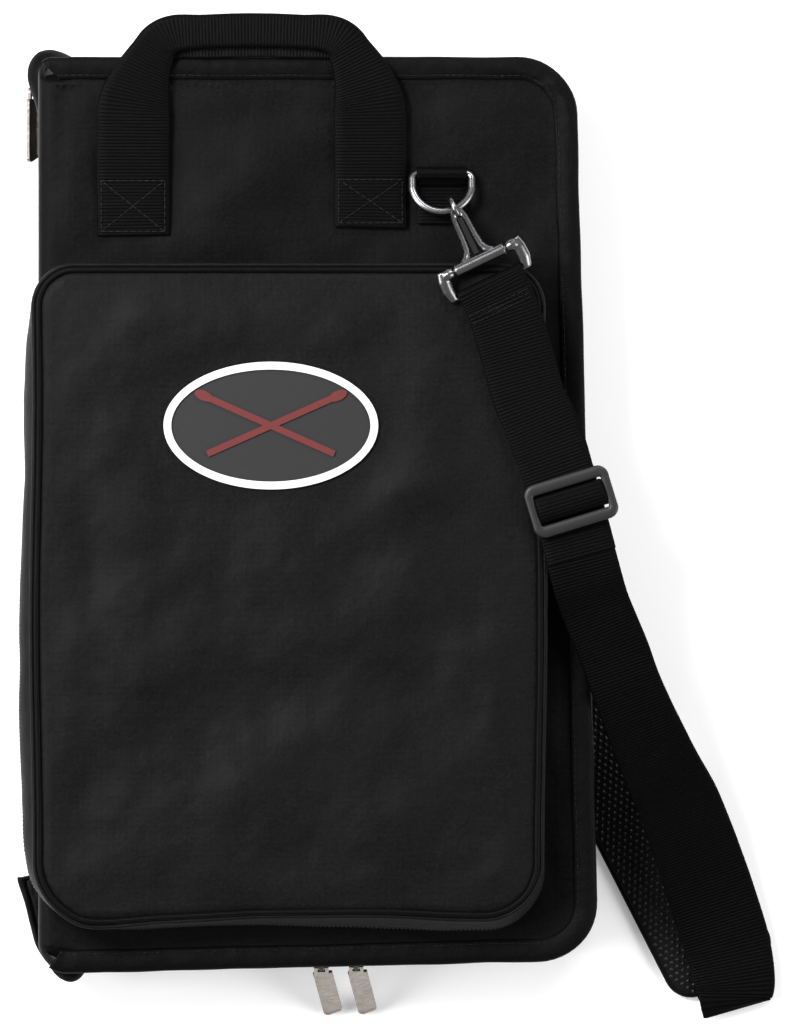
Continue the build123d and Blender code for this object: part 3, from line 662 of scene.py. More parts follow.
def apply_modifiers(obj):
    graph = bpy.context.evaluated_depsgraph_get()
    mesh = bpy.data.meshes.new_from_object(obj.evaluated_get(graph))
    obj.modifiers.clear()
    obj.data = mesh


def closed_sheet(verts, faces, thick):
    """Gives an open grid of quads a second skin thick behind it along z, joined round the edge."""
    n = len(verts)
    low = [(v[0], v[1], v[2] - thick) for v in verts]
    edges = {}
    for f in faces:
        for a, b in zip(f, f[1:] + f[:1]):
            edges[(a, b)] = edges.get((a, b), 0) + 1
    rim = [(a, b) for (a, b) in edges if (b, a) not in edges]
    out = list(faces) + [tuple(i + n for i in f)[::-1] for f in faces]
    out += [(b, a, a + n, b + n) for a, b in rim]
    return [tuple(v) for v in verts] + low, out


def wobble(p, amount, scale, seed):
    return amount * rumple(p.x, p.y, scale, seed)


# ---- walls, bindings and spine ----
WALL_X = LEFT + 14.0           # the zips and walls end here; the spine lies left of it


def zip_side(p):
    return p.x > WALL_X


def spine_side(p):
    return p.x < WALL_X + 3.0


def wall_shape(seed, amount):
    """Soft unevenness of a wall."""
    def shape(p, out, inset):
        lift = wobble(p, amount, 34, seed + p.z / 9) + wobble(p, amount * 0.5, 12, seed + 4 + p.z / 5)
        return p + out * lift
    return shape


def band_shape(up, seed):
    """Soft unevenness of a binding, and its crumpled turn at the top right corner."""
    def shape(p, out, inset):
        q = p + out * wobble(p, 0.45, 26, seed)
        lift = wobble(p, 0.35, 17, seed + 2) + wobble(p, 0.25, 6, seed + 5)
        spoke = Vector((p.x, p.y, 0)) - Vector((RIGHT_TOP - 12, TOP - 12, 0))
        turn = math.atan2(spoke.y, spoke.x)
        near = math.exp(-(spoke.length - 14) ** 2 / 260)
        lift += near * 0.7 * math.sin(turn * 11 + 1.0) * (1 if 3 < inset < 11 else 0.3)
        q.z += up * lift * (1.0 if 1 < inset < 11.3 else 0.2)
        return q
    return shape


cover_wall = ribbon("cover_wall", body_line, [
    (2.0, FRONT_TAPE[1][2] - 0.4), (1.3, 43.5), (0.9, 46.0), (0.7, 50.0), (0.9, 54.0), (1.3, 57.0),
    (1.9, 59.0), (4.0, 59.0), (4.0, 54.0), (3.9, 46.0), (3.6, FRONT_TAPE[1][2] - 0.4)],
    OXFORD_WALL_SHADED, "front_cover", zip_side, wall_shape(2.0, 0.5))
declare(cover_wall, "oxford_black", "front_gusset", pad=0.9)
back_wall = ribbon("back_wall", body_line, [
    (2.0, 17.6), (1.4, 19.5), (1.1, 22.0), (1.4, 25.0), (2.0, BACK_TAPE[0][2] + 0.4),
    (3.6, BACK_TAPE[0][2] + 0.4), (4.0, 23.0), (4.0, 17.6)],
    OXFORD_WALL_SHADED, "back_half", zip_side, wall_shape(5.0, 0.4))
declare(back_wall, "oxford_black", "back_gusset", pad=0.9)

FRONT_BAND = [(1.9, 57.6), (0.6, 57.8), (0.1, 58.6), (-0.1, 60.0), (0.0, 61.6), (0.6, 62.6), (1.8, 63.2),
              (3.5, 63.5), (5.5, 63.5), (7.5, 63.3), (9.3, 62.9), (9.8, 62.75), (10.8, 62.7),
              (11.7, 62.2), (11.9, 61.4), (11.6, 60.7), (7.0, 60.6), (2.4, 60.0)]


def bound_side(p):
    """Where the bindings run: everywhere but the spine."""
    return p.x > LEFT + (2.0 if p.y > 0 else 5.0)


front_edge = ribbon("cover_binding", body_line, FRONT_BAND, BINDING, "front_cover", bound_side,
                    band_shape(1, 3.0))
declare(front_edge, "binding_black", "front_binding")
BACK_BAND = [(1.9, 18.6), (0.7, 18.4), (0.1, 17.6), (-0.1, 16.4), (0.1, 14.8), (0.8, 13.9), (2.0, 13.5),
             (5.0, 13.3), (9.3, 13.6), (10.8, 13.9), (11.7, 14.4), (11.6, 15.4), (7.0, 15.6), (2.4, 16.2)]
back_edge = ribbon("back_binding_band", body_line, BACK_BAND[::-1], BINDING, "back_half", bound_side,
                   band_shape(-1, 7.0))
declare(back_edge, "binding_black", "back_binding")


def band_stitches(name, z, body, up, seed):
    """Stitches along a binding's inner edge."""
    pts = shaped(body_line, BAND_STITCH_IN, z, band_shape(up, seed), run_of(body_line(0), bound_side))
    rows = even(pts, 0.9)
    parts = [capsule(rows[k][0], rows[k + 3][0], 0.27, 5) for k in range(0, len(rows) - 4, 4)]
    declare(make_object(name, *merge(*parts), THREAD, body), "binding_black")


band_stitches("cover_binding_stitches", 62.85, "front_cover", 1, 3.0)
band_stitches("back_binding_stitches", 13.5, "back_half", -1, 7.0)

spine = ribbon("spine", body_line, [
    (3.0, 17.6), (1.4, 20.0), (0.9, 24.0), (0.8, 30.0), (1.0, 32.8), (1.3, 34.3), (1.0, 35.8), (0.7, 39.0),
    (0.6, 45.0), (0.9, 50.0), (2.0, 54.0), (3.6, 57.5), (5.0, 57.0), (4.0, 50.0), (4.0, 40.0), (4.0, 35.5),
    (4.0, 34.3), (4.0, 33.0), (4.0, 25.0), (4.0, 17.6)],
    OXFORD_WALL_SHADED, None, spine_side, wall_shape(9.0, 0.5))
declare(spine, "oxford_black", "front_spine", "back_spine", pad=0.9)
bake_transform(spine)

for name, node, coil, body, z0, z1, mid, phase in (
        ("cover_zip", "front_zip_tape", "front_zip_coil", "front_cover", 35.6, 42.6, 35.35, 0.0),
        ("back_zip", "back_zip_tape", "back_zip_coil", "back_half", 26.0, 33.0, 33.25, 0.5)):
    section = [(2.6, z0), (2.5, (z0 + z1) / 2), (2.6, z1), (3.5, z1), (3.5, z0)]
    tape = ribbon(name + "_tape", body_line, section, TAPE, body, zip_side, wall_shape(11.0, 0.2))
    declare(tape, "zip_tape_black", node)
    path = body_line(TEETH_IN)
    picks = run_of(path, zip_side)
    row = teeth(name + "_teeth", [(path[i].x, path[i].y, mid) for i in picks], Z, body, phase=phase)
    declare(row, "coil_black", coil)


def rim_line(line_of, inset, z, at_spine):
    """One rim line; towards the spine it moves out to at_spine = (inset, z)."""
    row = []
    for p in line_of(inset):
        near = ease((LEFT + 24 - p.x) / 12) if at_spine else 0.0
        x = p.x - near * (inset - at_spine[0]) if near else p.x
        row.append(Vector((x, p.y, z + near * (at_spine[1] - z) if near else z)))
    return row


def surface(lines, flat, up):
    """Rim lines and the flat panel inside them as verts and faces, turned over if not up."""
    parts = [stack(lines), flat]
    if not up:
        parts = [(verts, [f[::-1] for f in faces]) for verts, faces in parts]
    return merge(*parts)


def skin(name, lines, height, spacing, material, body=None, up=True):
    """Skin over rim lines and the panel inside the last of them, as one welded mesh."""
    inner = lines[-1]
    verts, faces = fill(inner, height, spacing)
    verts[:len(inner)] = [tuple(p) for p in inner]
    obj = make_object(name, *surface(lines, (verts, faces), up), material)
    weld(obj)
    apply_modifiers(obj)
    if body:
        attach(obj, body)
    return obj


def shell(name, spec, height, material, body, spacing=5.0, up=True, line_of=body_line, spine_rim=None):
    """Flat skin: rim lines from spec [(inset, z)], then a filled panel."""
    spots = spine_rim or [None] * len(spec)
    lines = [rim_line(line_of, inset, z, spot) for (inset, z), spot in zip(spec, spots)]
    return skin(name, lines, height, spacing, material, body, up)


# ---- panels and linings ----
SPINE_ROLL = [(0.7, 50.5), (0.4, 54.0), (1.3, 57.8), (3.2, 60.2), (6.5, 61.4)]
# The front panel takes the darker oxford copy: painted shade.
cover_panel = shell("cover_panel", [(3.0, 58.6), (3.0, 60.4), (11.0, 61.2), (12.4, FRONT_Z - 0.3),
                                    (14.5, FRONT_Z - 0.6)],
                    cover_z, OXFORD_COVER_SHADED, "front_cover", 4.0, spine_rim=SPINE_ROLL)
declare(cover_panel, "oxford_black", "front_panel", pad=0.9)


def back_z(x, y):
    return BACK_Z + 0.6 - inside_fade(x, y) * (0.5 + 0.5 * rumple(x, y, 40, 6.1))


back_panel = shell("back_panel_skin", [(3.0, 18.0), (3.0, 16.2), (11.2, 15.4), (14.0, BACK_Z + 0.5)], back_z,
                   OXFORD, "back_half", 6.0, up=False, spine_rim=[(0.8, 22.5), (0.8, 19.0), (2.6, 16.2),
                                                                  (6.0, 15.2)])
declare(back_panel, "oxford_black", "back_panel", pad=0.9)


def quilt(z, sign):
    def height(x, y):
        soft = 0.5 * math.cos(x * math.pi / 62) * math.cos(y * math.pi / 62)
        return z + sign * (soft + 0.5 * rumple(x, y, 30, 2.2)) * inside_fade(x, y, 20)
    return height


for name, node, body, z, sign, up in (
        ("cover_lining", "front_lining", "front_cover", 57.2, -1, False),
        ("back_lining_sheet", "back_lining", "back_half", 18.9, 0.6, True)):
    lining = shell(name, [(3.9, z + (1.2 if not up else -0.8)), (4.4, z)], quilt(z, sign), LINING, body, 7.0,
                   up)
    declare(lining, "lining_grey", node, flat=(0.28, 0.465), held="laid")

# ---- stick sleeves ----
S_LOW, S_HIGH = box_mm("stick_sleeves")
M_LOW, M_HIGH = box_mm("sleeve_mouth_binding")
SLEEVES = 5
PITCH = (S_HIGH[0] - S_LOW[0]) / SLEEVES
SLEEVE_Z, SLEEVE_RISE = 19.4, 8.6      # the seams' height, and the cloth's rise between them


def sleeve_z(x, y, extra=0.0):
    t = ((x - S_LOW[0]) / PITCH) % 1.0
    end = ease((y - S_LOW[1]) / 30)
    hump = (math.sin(math.pi * t) ** 0.55) if 0 < t < 1 else 0.0
    index = int((x - S_LOW[0]) / PITCH)
    sag = 1.0 + 0.06 * noise.noise(Vector((y / 40, index * 3.7, 1)))
    return SLEEVE_Z + (SLEEVE_RISE * hump * sag + extra) * max(end, 0.04) + 0.25 * rumple(x, y, 9, 4.0)


def sleeve_grid(y0, y1, rows, extra):
    cols = SLEEVES * 16
    lines = []
    for j in range(rows + 1):
        y = y0 + (y1 - y0) * j / rows
        xs = [S_LOW[0] + (S_HIGH[0] - S_LOW[0]) * i / cols for i in range(cols + 1)]
        lines.append([(x, y, sleeve_z(min(x, S_HIGH[0] - 1e-3), y, extra)) for x in xs])
    return stack(lines, close=False)


sleeves = make_object("stick_sleeve_cloth", *closed_sheet(*sleeve_grid(S_LOW[1] + 2, S_HIGH[1], 60, 0.0),
                                                          0.7),
                      LINING, "back_half")
declare(sleeves, "lining_grey", "stick_sleeves", flat=(0.29, 0.295), held="laid",
        rests_on=["back_lining_sheet"])
mouth = make_object("sleeve_mouth_tape", *closed_sheet(*sleeve_grid(M_LOW[1] - 1, M_HIGH[1], 4, 0.5), 1.4),
                    BINDING, "back_half")
declare(mouth, "binding_black", "sleeve_mouth_binding")
seams = []
for i in range(SLEEVES + 1):
    x = S_LOW[0] + min(max(i * PITCH, 1.2), SLEEVES * PITCH - 1.2)
    seams.append([(x, S_LOW[1] + 6 + k * 30, 19.9) for k in range(10)])
sleeve_seams = stitches("sleeve_seams", seams, "back_half")

# ---- rear pocket ----
R_LOW, R_HIGH = box_mm("rear_pocket_panel")


def rear_line(inset, per_side=60):
    corners = [(R_LOW[0], R_LOW[1]), (R_HIGH[0], R_LOW[1]), (R_HIGH[0], R_HIGH[1]), (R_LOW[0], R_HIGH[1])]
    return rounded(corners, [6, 6, 6, 6], inset, per_side, 6)


def rear_z(x, y):
    near = min(x - R_LOW[0], R_HIGH[0] - x, y - R_LOW[1], R_HIGH[1] - y)
    return 0.15 + 0.5 * (1 - ease((near - 3) / 25)) + 0.35 * abs(rumple(x, y, 45, 5.5))


rear_skin = shell("rear_pocket_skin", [(0.4, 15.0), (0.2, 12.0), (0.0, 8.0), (0.2, 5.0), (0.7, 3.0),
                                       (1.8, 1.5), (3.6, 0.7)],
                  rear_z, OXFORD_WALL_SHADED, "back_half", 7.0, up=False, line_of=rear_line)
declare(rear_skin, "oxford_black", "rear_pocket_panel", "rear_pocket_gusset", pad=0.6)
rear_roll = tube("rear_pocket_piping", [(p.x, p.y, 1.9) for p in rear_line(1.5)], 1.3, "back_half", BINDING)
Z_LOW, Z_HIGH = box_mm("rear_zipper")
zip_x = Z_LOW[0] + 1.4
parts = []
for k, z in enumerate((7.9, 9.3)):
    row = [(zip_x - 0.5, Z_LOW[1] + 2 + i * 8.0 + k, z) for i in range(int((Z_HIGH[1] - Z_LOW[1] - 4) / 8))]
    parts += [capsule(p - Z * 0.8, p + Z * 0.8, 0.5, 5) for p, _ in even(row, 2.0)]
rear_teeth = make_object("rear_zip_teeth", *merge(*parts), COIL, "back_half")
lines = []
rows = 90
for j in range(rows + 1):
    y = Z_LOW[1] + (Z_HIGH[1] - Z_LOW[1]) * j / rows
    out = 0.25 * noise.noise(Vector((y / 20, 3, 1)))
    lines.append([(R_LOW[0] + x - out * 0.6, y, z)
                  for x, z in ((0.2, 4.0), (-0.5, 4.6), (-0.7, 8.6), (-0.5, 12.6), (0.2, 13.2))])
tape_verts, tape_faces = stack(lines, close=False)
tape_faces = [(a, d, c, b) for a, b, c, d in tape_faces]
rear_tape = make_object("rear_zip_tape", tape_verts, tape_faces, TAPE, "back_half")
declare(rear_tape, "zip_tape_black", "rear_zipper")

# ---- front pocket ----
# The left wall's swell: (y, millimetres).
BULGE = [(132, 0.0), (111, 1.8), (90, 4.8), (59, 6.8), (17, 5.8), (-4, 7.2), (-45, 8.6), (-97, 8.6),
         (-149, 7.8), (-175, 6.2), (-190, 4.2), (-208, 1.5), (-220, 1.0)]


def left_bulge(y):
    """How far the pocket's left wall swells at y."""
    for (y1, b1), (y0, b0) in zip(BULGE, BULGE[1:]):
        if y >= y0:
            return b0 + (b1 - b0) * max(0.0, min(1.0, (y - y0) / (y1 - y0)))
    return BULGE[-1][1]


def pocket_shape(p, out, inset):
    """Slack sides that swell past the piping, and a bottom edge that waves."""
    k = max(0.0, math.sin(math.pi * min(1.0, max(0.0, (p.z - FRONT_Z + 1) / 25.5)))) ** 0.8
    swell = left_bulge(p.y) * max(0.0, -out.x) + 1.2 * max(0.0, out.x)
    swell += 4.2 * max(0.0, -out.y) * ease((p.x + 125) / 40) + 0.8 * max(0.0, out.y)
    q = p + out * (swell * k + wobble(p, 0.7 * k, 22, 2.5 + p.z / 14))
    high = ease((p.z - 74) / 10)
    wave = (2.0 + 1.6 * math.sin(p.x / 40 + 0.4)) * max(0.0, -out.y) + 0.8 * math.sin(p.y / 37) * abs(out.x)
    q -= out * wave * high
    q.z += high * (0.5 * math.sin(p.x / 33 + p.y / 41) + wobble(p, 0.5, 25, 8.8))
    return q


def zip_part(p):
    return p.y < 31.0


def run_out(at_zip, plain):
    """Pocket shape; a wall's edge at the zip runs out into plain fabric near the top."""
    def shape(p, out, inset):
        if at_zip(p.z):
            p = Vector((p.x, p.y, p.z + (plain - p.z) * ease((p.y - 24) / 9)))
        return pocket_shape(p, out, inset)
    return shape


pocket_wall = ribbon("pocket_wall", pocket_line, [
    (1.2, 61.0), (1.2, 63.0), (1.2, 65.5), (1.4, 68.0), (1.6, 70.5), (1.9, 72.4), (3.6, 72.4), (3.8, 68.0),
    (3.8, 61.0)], OXFORD_WALL_SHADED, "front_cover", None, run_out(lambda z: z > 71, 74.4))
declare(pocket_wall, "oxford_black", "pocket_gusset", pad=0.5)
hem = ribbon("pocket_hem", pocket_line, [
    (1.0, 61.2), (1.0, 62.2), (8.0, 63.0), (15.0, 62.6), (15.0, 61.6), (8.0, 61.8)], OXFORD_WALL_SHADED,
    "front_cover")
declare(hem, "oxford_black", pad=0.1)
pocket_upper = ribbon("pocket_upper_wall", pocket_line, [
    (1.9, 76.2), (1.5, 78.0), (1.2, 80.5), (1.0, 83.0), (1.0, 85.5), (1.4, 87.0), (3.4, 86.6), (3.6, 81.0),
    (3.6, 76.2)], OXFORD_WALL_SHADED, None, None, run_out(lambda z: z < 77.5, 74.2))
declare(pocket_upper, "oxford_black", "flap_gusset", pad=0.5)


def fold_blend(obj):
    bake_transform(obj)


fold_blend(pocket_upper)


def pocket_path(inset, z):
    return shaped(pocket_line, inset, z, pocket_shape)


for name, coil, z, phase, moving in (("pocket_zip_lower", "pocket_zip_coil", 73.4, 0.0, False),
                                     ("pocket_zip_upper", "flap_zip_coil", 75.2, 0.5, True)):
    path = pocket_path(TEETH_IN, z)
    picks = run_of(path, zip_part)
    row = teeth(name, [path[i] for i in picks], Z, None if moving else "front_cover", phase=phase)
    declare(row, "coil_black", coil)
    if moving:
        fold_blend(row)
for name, z0, z1, moving in (("pocket_tape_lower", 71.6, 73.2, False), ("pocket_tape_upper", 75.4, 77.0,
                                                                        True)):
    tape = ribbon(name, pocket_line, [(2.5, z0), (2.5, z1), (3.4, z1), (3.4, z0)], TAPE,
                  None if moving else "front_cover", zip_part, pocket_shape)
    if moving:
        fold_blend(tape)

BADGE_LOW, BADGE_HIGH = box_mm("badge_ground")
BADGE_MID = middle(BADGE_LOW, BADGE_HIGH)
BADGE_HALF = [(b - a) / 2 for a, b in zip(BADGE_LOW, BADGE_HIGH)]


def pocket_height(x, y):
    near = min(x - P_LEFT, P_RIGHT - x, P_TOP - y, y - P_LOW) - 5
    fade = ease(near / 26)
    z = sum(ridge(x, y, *fold) for fold in POCKET_FOLDS)
    z += 3.2 * rumple(x, y, 50, 1.7) + 1.0 * rumple(x, y, 21, 5.3) + 0.35 * rumple(x, y, 9, 7.7)
    under_strap = ease((x - 60) / 30) * ease((y + 60) / 40)
    z = z * (1 - 0.75 * under_strap) - 0.4 * under_strap
    d = math.hypot((x - BADGE_MID[0]) / (BADGE_HALF[0] + 4), (y - BADGE_MID[1]) / (BADGE_HALF[1] + 4))
    open_air = ease((d - 0.95) / 0.5)
    return BADGE_LOW[2] - 0.05 + fade * (0.3 + z) * open_air - (1 - fade) * 0.6 * open_air


pocket_skin = skin("pocket_panel_skin", [pocket_path(3.2, 86.2), pocket_path(4.6, 87.2)], pocket_height, 3.4,
                   OXFORD)
declare(pocket_skin, "oxford_black", "pocket_panel", "flap_panel", pad=0.6)
fold_blend(pocket_skin)
cord_line = pocket_path(3.4, 87.9)
cord = tube("pocket_piping_cord", cord_line, 1.55, None, BINDING)
declare(cord, "binding_black", "pocket_piping", "flap_piping")
fold_blend(cord)
edge_roll = tube("pocket_seam_roll", pocket_path(0.9, 86.9), 1.25, None, OXFORD_WALL_SHADED)
fold_blend(edge_roll)

# ---- cast hardware ----
def solid_tube(line, radii, around=12, flat=1.0, up=Z):
    """Closed bar along a line, its radius given at each point, flattened along up."""
    rings = []
    n = len(line)
    for i in range(n):
        way = (line[min(i + 1, n - 1)] - line[max(i - 1, 0)]).normalized()
        side = way.cross(up).normalized()
        rings.append(ring(line[i], side, side.cross(way), radii[i], around, flat))
    return capped(rings)


def cast(name, parts, voxel, body, node):
    """Parts fused into one dark nickel casting with soft corners."""
    obj = make_object(name, *merge(*parts), DARK_NICKEL)
    mesh_mod = obj.modifiers.new("fuse", "REMESH")
    mesh_mod.mode = "VOXEL"
    mesh_mod.voxel_size = voxel * MM
    mesh_mod.use_smooth_shade = True
    soft = obj.modifiers.new("soft", "SMOOTH")
    soft.factor = 0.5
    soft.iterations = 6
    apply_modifiers(obj)
    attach(obj, body)
    declare(obj, "dark_nickel", node)


# ---- carry handle ----
A_LOW, A_HIGH = box_mm("handle_anchor_left")
B_LOW, B_HIGH = box_mm("handle_anchor_right")
LEG_L, LEG_R = middle(A_LOW, A_HIGH)[0], middle(B_LOW, B_HIGH)[0]
MID_X = (LEG_L + LEG_R) / 2
leg_z = FRONT_Z + 1.1          # the webbing where it is sewn down
# One side of the handle, from its sewn end to the middle: outer edge, inner edge, height, thickness.
# The edges count x from the middle of the leg.
EDGES = [((-18.8, 144.0), (19.2, 144.0), 0.0, 1.7), ((-19, 158), (19, 158), 0.0, 1.7),
         ((-19, 171), (19, 171), 0.2, 1.7), ((-18.9, 184), (18.9, 184), 1.4, 1.7),
         ((-18.8, 200), (19, 200), 2.4, 1.7), ((-18.3, 212), (19.2, 210), 2.8, 1.8),
         ((-14.6, 222), (19.3, 218), 3.1, 2.0), ((-8.0, 233.5), (19.4, 225.5), 3.4, 2.3),
         ((-0.6, 243.5), (20.2, 232), 3.9, 2.9), ((7.0, 252.5), (22.2, 237.6), 4.4, 3.8),
         ((17.5, 257.4), (27.0, 240.3), 4.8, 4.6), ((34, 258.6), (36.5, 240.9), 4.9, 5.0),
         ((48, 259.2), (49.0, 241.4), 5.0, 5.0),
         ((MID_X - LEG_L, 259.5), (MID_X - LEG_L, 241.6), 5.0, 5.0)]
half_path = [((o[0] + LEG_L, o[1]), (i[0] + LEG_L, i[1]), z, t) for o, i, z, t in EDGES]
whole = list(half_path)        # the other side mirrors it, its sewn end a little shorter
for outer_p, inner_p, z, t in half_path[-2::-1]:
    lift = 4.2 if outer_p[1] < 150 else 0.0
    whole.append(((2 * MID_X - outer_p[0], outer_p[1] + lift),
                  (2 * MID_X - inner_p[0], inner_p[1] + lift), z, t))
handle_points = []
for outer_p, inner_p, z, t in whole:
    dx, dy = inner_p[0] - outer_p[0], inner_p[1] - outer_p[1]
    wide = math.hypot(dx, dy)
    handle_points.append(((outer_p[0] + inner_p[0]) / 2, (outer_p[1] + inner_p[1]) / 2, leg_z + z,
                          dx / wide, dy / wide, 0, wide, t))
handle = webbing("handle_webbing", handle_points, 38, 1.7, None, ribs=0.42, wave=-0.2)
declare(handle, "webbing_black", "carry_handle", "handle_anchor_left", "handle_anchor_right")
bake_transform(handle)

fold_points = [(MID_X + x, 241.2 - 0.0004 * x ** 2, leg_z + 1.2, 0, 1, 0)
               for x in (-50, -34, -17, 0, 17, 34, 50)]
fold = webbing("handle_grip_fold", fold_points, 9.4, 2.6, "carry_handle", ribs=0.3, material=BINDING)
declare(fold, "webbing_black", flat=(0.0105, 0.1), held="folded")


def box_cross(x, y0, y1, z, half=16.5):
    """Sewn box with a cross in it."""
    a, b, c, d = (x - half, y0, z), (x + half, y0, z), (x + half, y1, z), (x - half, y1, z)
    return [[a, b], [b, c], [c, d], [d, a], [a, c], [b, d]]


box_lines = box_cross(LEG_L, A_LOW[1] + 2.5, 172.5, leg_z + 1.3)
box_lines += box_cross(LEG_R, B_LOW[1] + 2.5, 173, leg_z + 1.35)
box_sewing = stitches("handle_box_stitches", box_lines, "front_cover", 2.6, 1.2, 0.36)

# ---- straps ----
ADJ_LOW, ADJ_HIGH = box_mm("strap_adjuster")
STRAP_Z = 91.4                 # the strap's lower layer, where it lies on the pocket
HOOK_DIR = Vector((0.431, -0.903, 0)).normalized()
HOOK_SIDE = Vector((0.903, 0.431, 0)).normalized()
PIN = Vector((87.0, 130.5, STRAP_Z + 3.3))     # middle of the hook's barrel
FAR = PIN + HOOK_DIR * 13 + Vector((0, 0, -2.4))   # middle of the bar that the strap goes round
ADJ = Vector((*middle(ADJ_LOW, ADJ_HIGH)[:2], STRAP_Z))
ADJ_DIR = Vector((0.2924, -0.9563, 0)).normalized()
ADJ_SIDE = Vector((0.9563, 0.2924, 0)).normalized()


def strap_points(line, sides):
    return [(*p, *side) for p, side in zip(line, sides)]


end = ADJ + ADJ_DIR * 29
near = ADJ - ADJ_DIR * 34
tail = ADJ - ADJ_DIR * 2
start = FAR + HOOK_DIR * 12
SHIFT = Vector((-3.0, -0.9, 0))        # the strap runs a little left of the adjuster's middle
UPPER_W, LOWER_W = 36.8, 36.4          # widths of the strap above and below the adjuster
under = [end + SHIFT, near + SHIFT * 0.6, Vector((112.0, 60, STRAP_Z)), Vector((104, 88.4, STRAP_Z)),
         Vector((start.x, start.y, STRAP_Z))]
bend_up = []
for k in range(7):
    turn = math.pi * k / 6
    spot = Vector((FAR.x, FAR.y, STRAP_Z + 0.9)) - HOOK_DIR * math.sin(turn) * 2.6
    bend_up.append(Vector((spot.x, spot.y, STRAP_Z + 0.9 - math.cos(turn) * 2.4)))
over = [Vector((start.x, start.y, STRAP_Z + 2.2)), Vector((104.4, 88.6, STRAP_Z + 2.0)),
        Vector((112.6, 60.2, STRAP_Z + 2.1)), near + SHIFT + Vector((0.2, 0, 2.2)),
        ADJ + SHIFT * 0.6 - ADJ_DIR * 12 + Vector((0, 0, 2.4)), tail + SHIFT * 0.5 + Vector((0, 0, 2.0))]
HALF_SIDE = HOOK_SIDE.lerp(ADJ_SIDE, 0.5)
sides = [ADJ_SIDE] * 2 + [HALF_SIDE] + [HOOK_SIDE] * 10 + [HALF_SIDE] + [ADJ_SIDE] * 3
strap_up = webbing("strap_upper_webbing", strap_points(under + bend_up + over, sides), UPPER_W, 1.5,
                   "front_cover", ribs=0.45)
declare(strap_up, "webbing_black", "strap_upper", flat=(0.038, 0.315), held="folded")
sew = []
for d in (11.0, 13.2, 15.4):
    mid = FAR + HOOK_DIR * d
    a, b = mid - HOOK_SIDE * 17.5, mid + HOOK_SIDE * 17.5
    sew.append([(a.x, a.y, STRAP_Z + 3.3), (b.x, b.y, STRAP_Z + 3.3)])
sewn = stitches("strap_end_stitches", sew, "front_cover", 2.4, 1.0, 0.32)

first = ADJ + ADJ_DIR * 26.0
lower_line = [(first.x - 3.2, first.y - 0.9, STRAP_Z), (142.9, -36.0, 87.5), (147.6, -50.0, 81.0),
              (157.2, -73.3, 72.6), (165.4, -96.0, 65.4), (178.9, -131.0, 49.0), (189.6, -156.5, 34.0),
              (202.6, -195.0, 17.5), (212.8, -226.7, 10.2), (218.8, -247.0, 9.0), (221.6, -256.5, 8.2),
              (222.8, -260.4, 6.2), (221.9, -257.4, 3.9)]
lower_sides = [ADJ_SIDE] * 5 + [Vector((0.94, 0.33, 0))] * 3 + [Vector((0.96, 0.28, 0))] * 5
spread = []
for p, q in zip(lower_line, lower_sides):
    fan = 9.0 * ease((-80 - p[1]) / 110) * ease((p[1] + 262) / 24)
    spread.append((p[0] + q[0] * fan / 2, p[1] + q[1] * fan / 2, p[2], *q, LOWER_W + fan, 1.6))
strap_low = webbing("strap_lower_webbing", spread, LOWER_W, 1.6, None, ribs=0.45)
declare(strap_low, "webbing_black", "strap_lower")
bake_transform(strap_low)

PAD_DIR = Vector((-0.454, 0.891, 0)).normalized()
PAD_SIDE = Vector((0.891, 0.454, 0)).normalized()
PAD_LOW = Vector((219.0, -246.0, 0))
PAD_LEN, PAD_W, PAD_R = 250.0, 59.0, 14
rear_line_points = [(*(PAD_LOW + PAD_DIR * d)[:2], 3.2) for d in (-9, 60, 130, 190, 235, 262, 278)]
rear_line_points += [(87.0, 18.0, 3.2), (84.0, 36.0, 3.2), (82.8, 56.0, 3.2), (83.5, 75.0, 3.6),
                     (84.9, 92.4, 3.0)]
rear_sides = []
for i in range(len(rear_line_points)):
    p, q = rear_line_points[max(i - 1, 0)], rear_line_points[min(i + 1, len(rear_line_points) - 1)]
    rear_sides.append(Vector((q[1] - p[1], p[0] - q[0], 0)).normalized())
strap_back = webbing("strap_rear_webbing", strap_points(rear_line_points, rear_sides), 38, 1.6, "back_half",
                     ribs=0.4)
declare(strap_back, "webbing_black", "strap_rear", flat=(0.038, 0.395), held="laid")

# Snap hook: two rails from the barrel to a ring round the D, with the sprung tongue between them.
EYE = Vector((74.3, 157.7, 71.3))      # middle of the hook's ring
RING_R, RING_WIRE = 5.8, 1.55  # the ring round the D
BARREL_R, BARREL_HALF = 3.1, 14
BAR_R, BAR_HALF = 1.5, 22      # the bracket's two bars


def upward(a, b):
    """Unit vector square to a and b, on the +z side."""
    up = a.cross(b).normalized()
    return -up if up.z < 0 else up


def hook_casting(name, eye, pin, side, body, node):
    """Hook from its barrel at pin to its ring at eye."""
    u = (eye - pin).normalized()
    long = (eye - pin).length
    up = upward(u, side)
    parts = []
    for s in (-1, 1):
        spots = [(13.0, 0.8, 2.0), (9.8, 1.2, 2.1), (7.0, 2.6, 2.4), (5.2, 5.4, 2.3), (4.1, 9.0, 2.0),
                 (3.5, 16.0, 1.8),
                 (3.1, long - 8, 1.7), (2.2, long - 3.6, 1.7), (0.2, long - 1.6, 1.6)]
        rail = [pin + side * (s * a) + u * b + up * 0.3 for a, b, _ in spots]
        parts.append(solid_tube(rail, [r for _, _, r in spots], up=up, flat=1.05))
    turns = [2 * math.pi * k / 24 for k in range(25)]
    ring_line = [eye + u * (RING_R * math.cos(turn)) + up * (RING_R * math.sin(turn)) for turn in turns]
    parts.append(solid_tube(ring_line, [RING_WIRE] * len(ring_line), up=side))
    parts.append(solid_tube([pin - side * BARREL_HALF, pin + side * BARREL_HALF], [BARREL_R] * 2, 20))
    cast(name, parts, 0.42, body, node)


